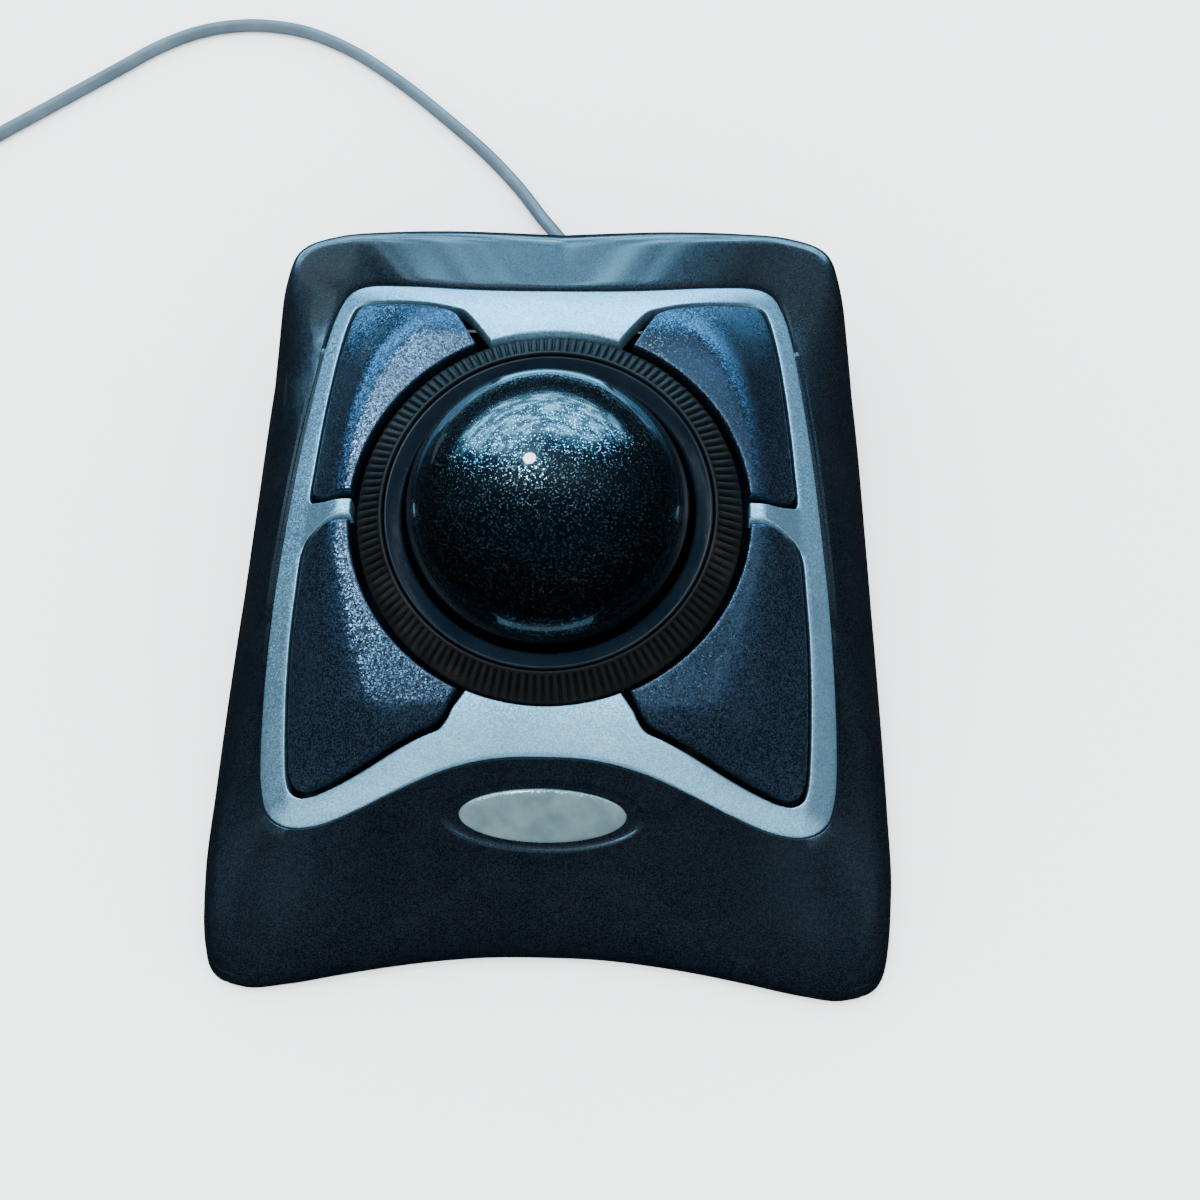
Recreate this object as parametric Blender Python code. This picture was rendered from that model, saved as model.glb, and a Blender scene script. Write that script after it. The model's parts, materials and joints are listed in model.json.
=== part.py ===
"""Desktop trackball: a 55 mm ball in a cup, a scroll ring around it and four buttons.

Lengths below are millimetres; mesh_object turns them into metres. +X is the user's
right, +Y is away from the user, +Z is up, and Z = 0 is the table under the feet.
"""
import math

import bmesh
import bpy
from mathutils import Matrix, Vector
from mathutils.geometry import delaunay_2d_cdt

MM = 0.001

# Ball, and the tilted axis that the ring, the cup and the ball share.
BALL_RADIUS = 27.5
BALL_CENTRE = Vector((0.0, 8.5, 37.0))
RING_TILT = math.radians(7.8)

# Scroll ring and what it runs on, as (radius, height along the tilted axis).
RING_PROFILE = [(32.1, 3.1), (36.4, 0.6), (37.7, -0.9), (37.7, -4.0),
                (36.2, -4.0), (36.2, -1.4), (33.9, 0.2), (33.6, -4.0), (32.1, -4.0)]
CODE_RING_RADII = (33.7, 35.1)
CODE_RING_HEIGHTS = (-7.4, -4.3)
CODE_TEETH = 24
GLIDE_RADII = (36.0, 37.4)
GLIDE_HEIGHTS = (-8.7, -4.3)
CUP_BOWL_RADIUS = 28.4
CUP_WALL = 1.8
CUP_LIP = (28.8, 1.7)
CUP_RIM = (31.75, 2.9)
CUP_FLANGE = (41.0, -9.0, 1.8)
CUP_FOOT = (11.0, 13.0, 3.2, 10.2)
BEARING_RADIUS = 1.4
BEARING_SPAN = (27.8, 32.4)
BEARING_DROP = math.radians(38.0)
SENSOR_DROP = math.radians(45.0)

# Crown surface over the bezel and the buttons.
CROWN_HEIGHT = 36.5
CROWN_SLOPE = math.tan(RING_TILT)
REAR_DROOP = (46.0, 0.031)
FRONT_DROOP = (-28.3, 0.043)
RAIL_SLOPE = 0.45
# Stations along Y: rail inner edge X, its height, inward slope and crease softness.
RAIL_STATIONS = [(-52.0, 49.5, 12.0, 0.30, 5.0), (-40.0, 51.1, 15.6, 0.36, 5.0),
                 (-30.0, 51.5, 19.0, 0.81, 5.0), (-20.0, 51.4, 22.4, 0.857, 3.0),
                 (-6.0, 50.8, 26.2, 0.966, 1.1), (2.0, 50.2, 27.8, 1.15, 0.8),
                 (14.0, 49.3, 29.3, 1.136, 0.8), (25.0, 48.6, 30.3, 1.143, 1.0),
                 (35.0, 47.7, 31.2, 0.97, 1.5), (42.0, 46.9, 31.8, 0.815, 2.0),
                 (55.0, 44.8, 33.0, 0.47, 3.5), (68.0, 42.0, 33.2, 0.42, 4.0)]

# Half outlines in plan, from the rear centre round the right side to the front centre.
BEZEL_HALF = [(0, 59.8), (17, 60.3), (32, 62.5), (40.0, 64.1), (44.7, 63.2), (47.2, 59.5),
              (49.2, 52.0), (51.2, 39.0), (53.0, 24.0), (54.7, 5.0), (56.2, -15.0),
              (57.0, -32.0), (56.7, -41.0), (54.9, -46.3), (50.6, -48.4), (44, -47.9),
              (36, -45.5), (28, -42.5), (19.5, -39.6), (10, -37.5), (0, -37.0)]
BASE_HALF = [(0, 77.6), (20, 77.6), (38, 77.6), (49.2, 77.5), (57.8, 74.4), (61.4, 67.0),
             (63.2, 56.0), (64.8, 40.0), (66.0, 24.0), (67.1, 3.0), (67.9, -22.0),
             (68.3, -42.0), (68.1, -58.0), (65.4, -73.6), (58.5, -77.5), (50.0, -76.9),
             (40, -75.0), (30.5, -73.3), (20.5, -71.9), (10.5, -71.0), (0, -70.8)]
OPENING_CENTRE_Y = 8.9
OPENING_AXES = (39.0, 38.1)
BUTTON_GAP = 0.55
# Inner edge of the bezel on the right: rear notch to arm, and arm to front notch.
BEZEL_REAR_OPENING = [(18.0, 51.4), (19.3, 52.6), (21.2, 53.4), (28.9, 55.9), (37.9, 58.3),
                      (41.3, 58.9), (43.2, 58.2), (44.2, 56.3), (46.0, 48.5), (47.3, 39.2),
                      (48.3, 29.5), (49.0, 20.0), (49.3, 15.2), (48.9, 13.6), (47.5, 12.8),
                      (44.2, 11.4), (42.0, 11.1)]
BEZEL_FRONT_OPENING = [(42.0, 7.9), (44.2, 7.6), (47.5, 6.4), (49.2, 5.2), (50.0, 3.2),
                       (50.7, -4.8), (51.3, -13.0), (51.6, -23.7), (51.5, -34.5),
                       (51.1, -40.0), (50.2, -42.4), (48.4, -43.6), (46.0, -43.6),
                       (41.5, -42.3), (37.3, -40.7), (29.8, -37.6), (22.3, -34.6),
                       (19.4, -33.4), (18.0, -31.8), (17.0, -29.8)]
BEZEL_NOTCH_X = (13.0, 14.6)
ARM_HALF_WIDTH = 1.6
# Outer edges of the right buttons, round from the notch and back to the arm.
REAR_BUTTON_EDGE = [(20.4, 51.6), (22.2, 52.7), (28.9, 55.1), (37.7, 57.6), (41.0, 58.2),
                    (42.6, 57.5), (43.5, 55.9), (45.4, 48.4), (46.7, 39.1), (47.7, 29.5),
                    (48.4, 20.0), (48.7, 16.0), (48.0, 14.9), (44.0, 12.9), (42.0, 12.7)]
FRONT_BUTTON_EDGE = [(42.0, 6.9), (44.0, 6.6), (47.1, 5.3), (48.6, 4.3), (49.4, 2.6),
                     (50.1, -4.8), (50.7, -13.0), (51.0, -23.7), (50.9, -34.4),
                     (50.4, -39.6), (49.5, -41.4), (48.1, -42.3), (46.1, -42.3),
                     (41.9, -41.0), (37.8, -39.4), (30.3, -36.3), (23.0, -33.3),
                     (20.2, -32.0), (18.9, -30.8)]
REAR_BUTTON_NOTCH = (15.8, 43.9)
FRONT_BUTTON_NOTCH = (16.4, -26.0)
BUTTON_THICKNESS = 2.5
BEZEL_THICKNESS = 4.2
BEZEL_FRONT_STEP = 2.6
BEZEL_PROUD = 0.2
COVER_GAP = 0.35
COVER_WALL = 2.0
COVER_RIM_Z = 1.2
# Stations along the outlines' rows: the cover's knee, as its fall from the bezel edge, its
# lean from the foot and the reach of its rounding; the front is a free curve instead.
COVER_SHAPE = [(0.0, 0.03, 0.02, 4.9), (3.0, -0.06, 0.01, 4.2), (5.0, -0.05, 0.06, 4.4),
               (7.0, 0.20, 0.025, 15.0), (9.0, 0.38, 0.035, 16.5), (11.0, 0.39, 0.133, 11.6),
               (13.0, 0.38, 0.232, 9.0), (20.0, 0.40, 0.33, 8.0)]
COVER_FRONT = (12.4, 14.4)
FRONT_REACH = 0.62
FRONT_FALL = 0.42
FRONT_STAND = (7.5, 0.62)
ROUNDING_SPAN = (0.38, 0.76)
COVER_STEPS = 8
LEDGE_DEPTH = 4.5
LEDGE_WIDTH = 2.6
LEDGE_THICKNESS = 1.8

# Hinges of the buttons: X of the axis, Y of its middle and its height.
REAR_HINGE = (46.5, 34.0, 29.5)
FRONT_HINGE = (50.4, -18.0, 19.5)

# Base, feet, screws and posts.
BASE_INSET = 4.3
BASE_Z = (0.9, 2.9)
FOOT_RADIUS = 6.0
FOOT_HEIGHT = 0.6
FOOT_PLACES = [(-53.0, 58.0), (53.0, 58.0), (-56.0, -63.0), (56.0, -63.0)]
SCREW_PLACES = [(-40.0, 68.0, 12.0), (40.0, 68.0, 12.0), (-30.0, -58.0, 8.6), (30.0, -58.0, 8.6)]
POST_TOPS = (30.8, 11.3)
BOSS_RADIUS = 4.5
BOSS_TOP = 5.0
POST_RADIUS = 3.0

# Circuit board and the parts on it.
BOARD_X = 30.0
BOARD_Y = (24.5, 64.5)
BOARD_Z = (5.2, 6.8)
STANDOFF_PLACES = [(-26.0, 28.0), (26.0, 28.0), (-26.0, 61.0), (26.0, 61.0)]
SWITCH_SIZE = (6.0, 12.8, 6.5)
SWITCH_PLACES = {"rear": (37.0, 42.0), "front": (38.0, -24.0)}
PLUNGER_LENGTH = 5.0
PLUNGER_RADIUS = 1.2
PLUNGER_ROOM = 2.2
PLUNGER_GAP = 0.7

# Badge on the front slope.
BADGE_CENTRE = Vector((0.0, -47.3, 19.6))
BADGE_SLOPE = math.radians(25.3)
BADGE_RECESS = (19.0, 6.3)
BADGE_DOME = (16.0, 5.2)
BADGE_DEPTH = 1.2

# Cord: exit in the rear wall, the route on the table, the coil and the plug.
CORD_RADIUS = 1.6
CORD_EXIT_Z = 8.0
RELIEF_END_Y = 87.0
CORD_ROUTE = [(-0.3, 93.6, 7.3), (-3.6, 100.5, 4.7), (-7.8, 107.9, 2.3), (-13.9, 117.5, 1.62),
              (-22.4, 128.1, 1.62), (-34.1, 140.3, 1.62), (-47.8, 153.2, 1.62),
              (-61.7, 164.0, 1.62), (-75.5, 170.8, 1.62), (-90.0, 173.0, 1.62),
              (-103.0, 170.8, 1.62), (-113.5, 165.4, 1.62), (-123.0, 157.8, 1.62),
              (-134.0, 148.9, 1.62), (-147.0, 138.4, 1.62)]
COIL_CENTRE = (-192.0, 139.0)
COIL_RADII = (11.3, 30.6)
COIL_HEIGHT = 6.7
COIL_ENTRY = (-162.2, 126.2, 1.62)
PLUG_X = -220.9
PLUG_START_Y = 157.4
PLUG_AXIS_Z = 4.1


# ---------------------------------------------------------------- helpers

def clear_scene():
    """Remove whatever the scene holds."""
    for item in list(bpy.data.objects):
        bpy.data.objects.remove(item, do_unlink=True)


def material(name, colour, roughness, metallic=0.0):
    """Return a Principled material of one colour."""
    made = bpy.data.materials.new(name)
    made.use_nodes = True
    shader = made.node_tree.nodes["Principled BSDF"]
    shader.inputs["Base Color"].default_value = (*colour, 1.0)
    shader.inputs["Roughness"].default_value = roughness
    shader.inputs["Metallic"].default_value = metallic
    made.diffuse_color = (*colour, 1.0)
    return made


def mesh_object(name, points, faces, look, origin=(0.0, 0.0, 0.0)):
    """Make one closed mesh object from millimetre points, with its origin at origin."""
    base = Vector(origin)
    mesh = bpy.data.meshes.new(name)
    mesh.from_pydata([(Vector(p) - base) * MM for p in points], [], faces)
    build = bmesh.new()
    build.from_mesh(mesh)
    bmesh.ops.recalc_face_normals(build, faces=build.faces)
    build.to_mesh(mesh)
    build.free()
    mesh.materials.append(look)
    made = bpy.data.objects.new(name, mesh)
    made.location = base * MM
    bpy.context.collection.objects.link(made)
    mesh.shade_smooth()
    mesh.set_sharp_from_angle(angle=math.radians(35.0))
    return made


def operand(shape, other, operation):
    """Combine another solid into a shape with a Boolean and hide the other one."""
    step = shape.modifiers.new(other.name, "BOOLEAN")
    step.operation = operation
    step.object = other
    step.solver = "EXACT"
    other.hide_render = True
    other.display_type = "WIRE"


def gather(name, shapes):
    """Merge several separate solids into one object that a Boolean can use at once."""
    build = bmesh.new()
    for shape in shapes:
        shape.data.transform(Matrix.Translation(shape.location))
        build.from_mesh(shape.data)
        bpy.data.objects.remove(shape, do_unlink=True)
    mesh = bpy.data.meshes.new(name)
    build.to_mesh(mesh)
    build.free()
    made = bpy.data.objects.new(name, mesh)
    bpy.context.collection.objects.link(made)
    return made


def smooth_value(stations, at, column):
    """Read a column of a station table at a place, on a smooth curve through it."""
    xs = [row[0] for row in stations]
    ys = [row[column] for row in stations]
    at = min(max(at, xs[0]), xs[-1])
    i = 0
    while i < len(xs) - 2 and at > xs[i + 1]:
        i += 1
    span = xs[i + 1] - xs[i]
    chord = (ys[i + 1] - ys[i]) / span
    before = chord if i == 0 else (ys[i + 1] - ys[i - 1]) / (xs[i + 1] - xs[i - 1])
    last = i + 2 >= len(xs)
    after = chord if last else (ys[i + 2] - ys[i]) / (xs[i + 2] - xs[i])
    t = (at - xs[i]) / span
    rise = (3.0 - 2.0 * t) * t * t
    ease_in = t * (1.0 - t) * (1.0 - t)
    ease_out = t * t * (1.0 - t)
    return ys[i] + rise * (ys[i + 1] - ys[i]) + span * (ease_in * before - ease_out * after)


def soft_minimum(a, b, width):
    """Return the smaller of two heights with their crease rounded over a width."""
    overlap = max(width - abs(a - b), 0.0) / width
    return min(a, b) - overlap * overlap * width / 4.0


def crown(x, y):
    """Return the height of the bezel and button surface at a place in plan."""
    top = CROWN_HEIGHT + CROWN_SLOPE * (y - BALL_CENTRE.y)
    top -= REAR_DROOP[1] * max(0.0, y - REAR_DROOP[0]) ** 2
    top -= FRONT_DROOP[1] * max(0.0, FRONT_DROOP[0] - y) ** 2
    rail_x = smooth_value(RAIL_STATIONS, y, 1)
    rail_z = smooth_value(RAIL_STATIONS, y, 2)
    inward = rail_x - abs(x)
    slope = smooth_value(RAIL_STATIONS, y, 3) if inward > 0.0 else RAIL_SLOPE
    return soft_minimum(top, rail_z + slope * inward, smooth_value(RAIL_STATIONS, y, 4))


def spline(points, parts, closed_ends=False):
    """Sample a Catmull-Rom curve through points, parts times in each span."""
    count = len(points)
    curve = []
    for i in range(count - 1):
        a = points[i]
        b = points[i + 1]
        before = points[i - 1] if i > 0 else tuple(2 * p - q for p, q in zip(a, b))
        after = points[i + 2] if i + 2 < count else tuple(2 * q - p for p, q in zip(a, b))
        if closed_ends and i == 0:
            before = (-b[0], *b[1:])
        if closed_ends and i == count - 2:
            after = (-a[0], *a[1:])
        for k in range(parts):
            t = k / parts
            weights = (-0.5 * t + t * t - 0.5 * t ** 3, 1 - 2.5 * t * t + 1.5 * t ** 3,
                       0.5 * t + 2 * t * t - 1.5 * t ** 3, -0.5 * t * t + 0.5 * t ** 3)
            stack = zip(before, a, b, after)
            curve.append(tuple(sum(w * v for w, v in zip(weights, row)) for row in stack))
    curve.append(tuple(float(v) for v in points[-1]))
    return curve


def mirror_loop(half):
    """Close a right half outline with its mirror image on the left."""
    return half + [(-x, y) for x, y in reversed(half[1:-1])]


def inside(point, loop):
    """Tell whether a point in plan lies inside a closed loop."""
    x, y = point
    odd = False
    for i, (x1, y1) in enumerate(loop):
        x2, y2 = loop[i - 1]
        if (y1 > y) != (y2 > y) and x < (x2 - x1) * (y - y1) / (y2 - y1) + x1:
            odd = not odd
    return odd


def edge_distance(point, loop):
    """Return the distance in plan from a point to a closed loop."""
    best = math.inf
    place = Vector(point)
    for i, corner in enumerate(loop):
        a = Vector(loop[i - 1])
        run = Vector(corner) - a
        t = max(0.0, min(1.0, (place - a).dot(run) / max(run.length_squared, 1e-9)))
        best = min(best, (a + run * t - place).length)
    return best


def inset(loop, amount):
    """Move a counter-clockwise or clockwise loop inward by an amount."""
    area = sum(a[0] * b[1] - b[0] * a[1] for a, b in zip(loop, loop[1:] + loop[:1]))
    turn = 1.0 if area > 0 else -1.0
    moved = []
    for i, here in enumerate(loop):
        ahead = loop[(i + 1) % len(loop)]
        run = Vector((ahead[0] - loop[i - 1][0], ahead[1] - loop[i - 1][1])).normalized()
        edge = Vector((ahead[0] - here[0], ahead[1] - here[1])).normalized()
        reach = amount * turn / max(0.5, run.dot(edge))
        moved.append((here[0] - run.y * reach, here[1] + run.x * reach))
    return moved


def plate(name, outline, holes, top, bottom, spacing, look, origin=(0.0, 0.0, 0.0)):
    """Make a plate between two height functions, bounded by loops in plan."""
    loops = [outline, *holes]
    points = []
    edges = []
    for loop in loops:
        first = len(points)
        points += loop
        edges += [(first + i, first + (i + 1) % len(loop)) for i in range(len(loop))]
    xs = [p[0] for p in outline]
    ys = [p[1] for p in outline]
    for i in range(int(math.ceil(min(xs) / spacing)), int(max(xs) / spacing) + 1):
        for k in range(int(math.ceil(min(ys) / spacing)), int(max(ys) / spacing) + 1):
            spot = (i * spacing, k * spacing)
            within = inside(spot, outline) and not any(inside(spot, hole) for hole in holes)
            if within and min(edge_distance(spot, loop) for loop in loops) > 0.45 * spacing:
                points.append(spot)
    flat = delaunay_2d_cdt([Vector(p) for p in points], edges, [], 1, 1e-5)
    places = [tuple(v) for v in flat[0]]
    cells = []
    for cell in flat[2]:
        middle = tuple(sum(places[i][axis] for i in cell) / len(cell) for axis in (0, 1))
        if inside(middle, outline) and not any(inside(middle, hole) for hole in holes):
            cells.append(tuple(cell))
    used = {}
    for cell in cells:
        for a, b in zip(cell, cell[1:] + cell[:1]):
            used[(a, b)] = True
    rim = [edge for edge in used if (edge[1], edge[0]) not in used]
    shift = len(places)
    solid = [(x, y, top(x, y)) for x, y in places] + [(x, y, bottom(x, y)) for x, y in places]
    faces = list(cells) + [tuple(i + shift for i in reversed(cell)) for cell in cells]
    faces += [(b, a, a + shift, b + shift) for a, b in rim]
    return mesh_object(name, solid, faces, look, origin)


def prism(name, outline, low, high, look):
    """Make an upright prism over an outline in plan."""
    count = len(outline)
    points = [(x, y, low) for x, y in outline] + [(x, y, high) for x, y in outline]
    faces = [tuple(range(count)), tuple(range(count, 2 * count))]
    faces += [(i, (i + 1) % count, count + (i + 1) % count, count + i) for i in range(count)]
    return mesh_object(name, points, faces, look)


def block(name, centre, size, look, turn=None):
    """Make a box about a centre, turned by a rotation matrix if one is given."""
    turn = turn or Matrix.Identity(3)
    corners = []
    for sx in (-0.5, 0.5):
        for sy in (-0.5, 0.5):
            for sz in (-0.5, 0.5):
                corner = Vector((sx * size[0], sy * size[1], sz * size[2]))
                corners.append(Vector(centre) + turn @ corner)
    faces = [(0, 1, 3, 2), (4, 6, 7, 5), (0, 4, 5, 1), (2, 3, 7, 6), (0, 2, 6, 4), (1, 5, 7, 3)]
    return mesh_object(name, corners, faces, look)


def turned(name, profile, segments, look, centre=(0, 0, 0), turn=None, origin=None):
    """Turn a closed (radius, height) profile about an axis; radius 0 closes on the axis."""
    turn = turn or Matrix.Identity(3)
    centre = Vector(centre)
    points = []
    rows = []
    for radius, height in profile:
        if radius < 1e-6:
            rows.append([len(points)] * segments)
            points.append(centre + turn @ Vector((0.0, 0.0, height)))
            continue
        rows.append(list(range(len(points), len(points) + segments)))
        for k in range(segments):
            angle = 2.0 * math.pi * k / segments
            around = Vector((radius * math.cos(angle), radius * math.sin(angle), height))
            points.append(centre + turn @ around)
    faces = []
    for i, row in enumerate(rows):
        after = rows[(i + 1) % len(rows)]
        for k in range(segments):
            n = (k + 1) % segments
            corner = list(dict.fromkeys((row[k], row[n], after[n], after[k])))
            if len(corner) > 2:
                faces.append(tuple(corner))
    return mesh_object(name, points, faces, look, centre if origin is None else origin)


def rod(name, centre, radius, low, high, look, turn=None, segments=20):
    """Make a plain cylinder along the turned axis."""
    profile = [(0.0, low), (radius, low), (radius, high), (0.0, high)]
    return turned(name, profile, segments, look, centre, turn)


def ring_turn():
    """Return the rotation that tilts upright things onto the ring's axis."""
    return Matrix.Rotation(RING_TILT, 3, "X")


def aim(direction):
    """Return the rotation that carries +Z onto a direction."""
    return Vector(direction).to_track_quat("Z", "Y").to_matrix()


def opening_point(angle, grow=0.0):
    """Return a point of the ring opening in plan, a little outside it by grow."""
    across, along = OPENING_AXES
    return ((across + grow) * math.cos(angle), OPENING_CENTRE_Y + (along + grow) * math.sin(angle))


def opening_arc(start, stop, parts, grow=0.0):
    """Return points of the ring opening between two points' angles."""
    angles = []
    for x, y in (start, stop):
        angles.append(math.atan2((y - OPENING_CENTRE_Y) / OPENING_AXES[1], x / OPENING_AXES[0]))
    first, last = angles
    return [opening_point(first + (last - first) * k / parts, grow) for k in range(parts + 1)]


# ---------------------------------------------------------------- housing

def cover_step(x, y):
    """Return how far the cover's edge lies under the bezel's edge."""
    if y > -30.0:
        return BEZEL_PROUD
    share = math.cos(min(1.0, abs(x) / 52.0) * math.pi / 2.0) ** 2
    return BEZEL_PROUD + BEZEL_FRONT_STEP * share


def share_between(position, start, full):
    """Return a smooth 0 to 1 share as a position goes from start to full."""
    t = max(0.0, min(1.0, (position - start) / (full - start)))
    return t * t * (3.0 - 2.0 * t)


def shape_value(along, column):
    """Read a column of the cover's shape stations."""
    return smooth_value(COVER_SHAPE, along, column)


def knee_point(start, knee, foot, soft, t):
    """Return a point of two straight legs with the knee between them rounded."""
    ahead = (start - knee).normalized()
    down = (foot - knee).normalized()
    reach = min(soft, 0.97 * (start - knee).length, 0.97 * (foot - knee).length)
    first = knee + ahead * reach
    last = knee + down * reach
    low, high = ROUNDING_SPAN
    if t < low:
        return start.lerp(first, t / low)
    if t > high:
        return last.lerp(foot, (t - high) / (1.0 - high))
    turn = (t - low) / (high - low)
    return first.lerp(knee, turn).lerp(knee.lerp(last, turn), turn)


def front_point(start, length, high, t):
    """Return a point of the front slope's free curve."""
    stand = min(FRONT_STAND[0], FRONT_STAND[1] * high)
    knots = (start, start + Vector((FRONT_REACH * length, -FRONT_FALL * high)),
             Vector((length, COVER_RIM_Z + stand)), Vector((length, COVER_RIM_Z)))
    s = 1.0 - t
    weights = (s ** 3, 3 * s * s * t, 3 * s * t * t, t ** 3)
    return sum((knot * weight for knot, weight in zip(knots, weights)), Vector((0.0, 0.0)))


def outer_points(along, length, start_z, steps):
    """Return the cover's outer line as (distance, height), from bezel gap to foot."""
    high = start_z - COVER_RIM_Z
    start = Vector((COVER_GAP, start_z))
    foot = Vector((length, COVER_RIM_Z))
    knee_z = start_z - shape_value(along, 1) * high
    lean = shape_value(along, 2) * (knee_z - COVER_RIM_Z)
    knee = Vector((max(COVER_GAP + 0.3, length - lean), knee_z))
    front = share_between(along, *COVER_FRONT)
    points = []
    for k in range(steps + 1):
        t = k / steps
        rounded = knee_point(start, knee, foot, shape_value(along, 3), t)
        points.append(rounded.lerp(front_point(start, length, high, t), front))
    return points


def inner_points(outer, length, ledge_low):
    """Return the lower part of the cover's inner line, a wall's thickness inside."""
    inner = []
    for k in range(COVER_STEPS // 2, COVER_STEPS):
        run = (outer[k + 1] - outer[k - 1]).normalized()
        past = k - COVER_STEPS // 2 + 1
        x = outer[k].x + COVER_WALL * run.y
        z = outer[k].y - COVER_WALL * run.x
        inner.append((max(x, 1.4 + 0.3 * k), max(min(z, ledge_low - 0.12 * past), COVER_RIM_Z)))
    inner.append((length - COVER_WALL, COVER_RIM_Z))
    return inner


def cover_section(edge, foot, along):
    """Return one closed section of the cover, from the bezel gap out to the skirt."""
    surface = crown(*edge)
    outward = Vector((foot[0] - edge[0], foot[1] - edge[1], 0.0))
    length = outward.length
    outward.normalize()
    outer = outer_points(along, length, surface - cover_step(*edge), COVER_STEPS)
    ledge_low = surface - LEDGE_DEPTH - LEDGE_THICKNESS
    section = [tuple(p) for p in outer]
    section += reversed(inner_points(outer, length, ledge_low))
    section += [(1.2, ledge_low), (-LEDGE_WIDTH, ledge_low),
                (-LEDGE_WIDTH, surface - LEDGE_DEPTH), (COVER_GAP, surface - LEDGE_DEPTH)]
    start = Vector((edge[0], edge[1], 0.0))
    return [start + outward * s + Vector((0.0, 0.0, z)) for s, z in section]


def make_cover(look, hidden):
    """Loft the housing from the bezel gap out and down to its skirt."""
    parts = 1
    edges = mirror_loop(spline(BEZEL_HALF, parts, True))
    feet = mirror_loop(spline(BASE_HALF, parts, True))
    half = parts * (len(BEZEL_HALF) - 1)
    sections = []
    for i, (edge, foot) in enumerate(zip(edges, feet)):
        along = (i if i <= half else 2 * half - i) / parts
        sections.append(cover_section(edge, foot, along))
    count = len(sections[0])
    points = [p for section in sections for p in section]
    faces = []
    for i in range(len(sections)):
        a = i * count
        b = ((i + 1) % len(sections)) * count
        for k in range(count):
            n = (k + 1) % count
            faces.append((a + k, a + n, b + n, b + k))
    cover = mesh_object("top_cover", points, faces, look)
    posts = []
    cuts = [rod("cord_bore", (0, 77, CORD_EXIT_Z), 3.4, -8.0, 8.0, hidden, aim((0, 1, 0)), 16),
            badge_solid("badge_recess", BADGE_RECESS, -BADGE_DEPTH, 4.0, hidden)]
    for i, (x, y, depth) in enumerate(SCREW_PLACES):
        top = POST_TOPS[0] if y > 0 else POST_TOPS[1]
        posts.append(rod(f"post_{i}", (x, y, 0), POST_RADIUS, BOSS_TOP + 0.3, top, hidden, None, 12))
        cuts.append(rod(f"bore_{i}", (x, y, 0), 1.6, 0.0, depth, hidden, None, 12))
    operand(cover, gather("cover_posts", posts), "UNION")
    operand(cover, gather("cover_cuts", cuts), "DIFFERENCE")
    return cover


def badge_solid(name, axes, low, high, look, dome=0.0):
    """Make an elliptical solid standing on the badge's plane."""
    turn = Matrix.Rotation(BADGE_SLOPE, 3, "X")
    profile = [(0.0, low), (1.0, low), (1.0, high)]
    if dome > 0.0:
        profile += [(0.93, high + 0.35 * dome), (0.72, high + 0.75 * dome)]
    profile.append((0.0, high + dome))
    made = turned(name, profile, 28, look, BADGE_CENTRE, turn)
    for vertex in made.data.vertices:
        flat = turn.inverted() @ vertex.co
        vertex.co = turn @ Vector((flat.x * axes[0], flat.y * axes[1], flat.z))
    return made


def make_bezel(look):
    """Make the frame around the buttons, with its two arms and two webs."""
    outer = mirror_loop(spline(BEZEL_HALF, 1, True))
    top = opening_arc((0.0, 47.0), (BEZEL_NOTCH_X[0], 44.9), 4)
    arm = [(x, OPENING_CENTRE_Y + s * ARM_HALF_WIDTH) for x, s in ((39.0, 1), (39.0, -1))]
    arm_arc = [(38.97, OPENING_CENTRE_Y + ARM_HALF_WIDTH), (38.97, OPENING_CENTRE_Y - ARM_HALF_WIDTH)]
    bottom = opening_arc((BEZEL_NOTCH_X[1], -26.4), (0.0, -29.2), 4)
    half = top + BEZEL_REAR_OPENING + [(arm_arc[0][0], arm[0][1] + 0.6)]
    half += [(arm_arc[1][0], arm[1][1] + 0.6)] + BEZEL_FRONT_OPENING + bottom
    inner = mirror_loop([half[0]] + half[1:])
    return plate("bezel_frame", outer, [inner], crown,
                 lambda x, y: crown(x, y) - BEZEL_THICKNESS, 6.0, look)


def make_button(name, side, place, look):
    """Make one button plate; side is +1 on the right and -1 on the left."""
    if place == "rear":
        notch = REAR_BUTTON_NOTCH
        arc = opening_arc((39.0, 12.7), notch, 7, BUTTON_GAP)
        edge = arc + REAR_BUTTON_EDGE
        hinge = REAR_HINGE
    else:
        notch = FRONT_BUTTON_NOTCH
        arc = opening_arc(notch, (39.0, 6.9), 7, BUTTON_GAP)
        edge = arc + FRONT_BUTTON_EDGE
        hinge = FRONT_HINGE
    loop = [(side * x, y) for x, y in edge]
    return plate(name, loop, [], crown, lambda x, y: crown(x, y) - BUTTON_THICKNESS, 6.0, look,
                 (side * hinge[0], hinge[1], hinge[2]))


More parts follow.
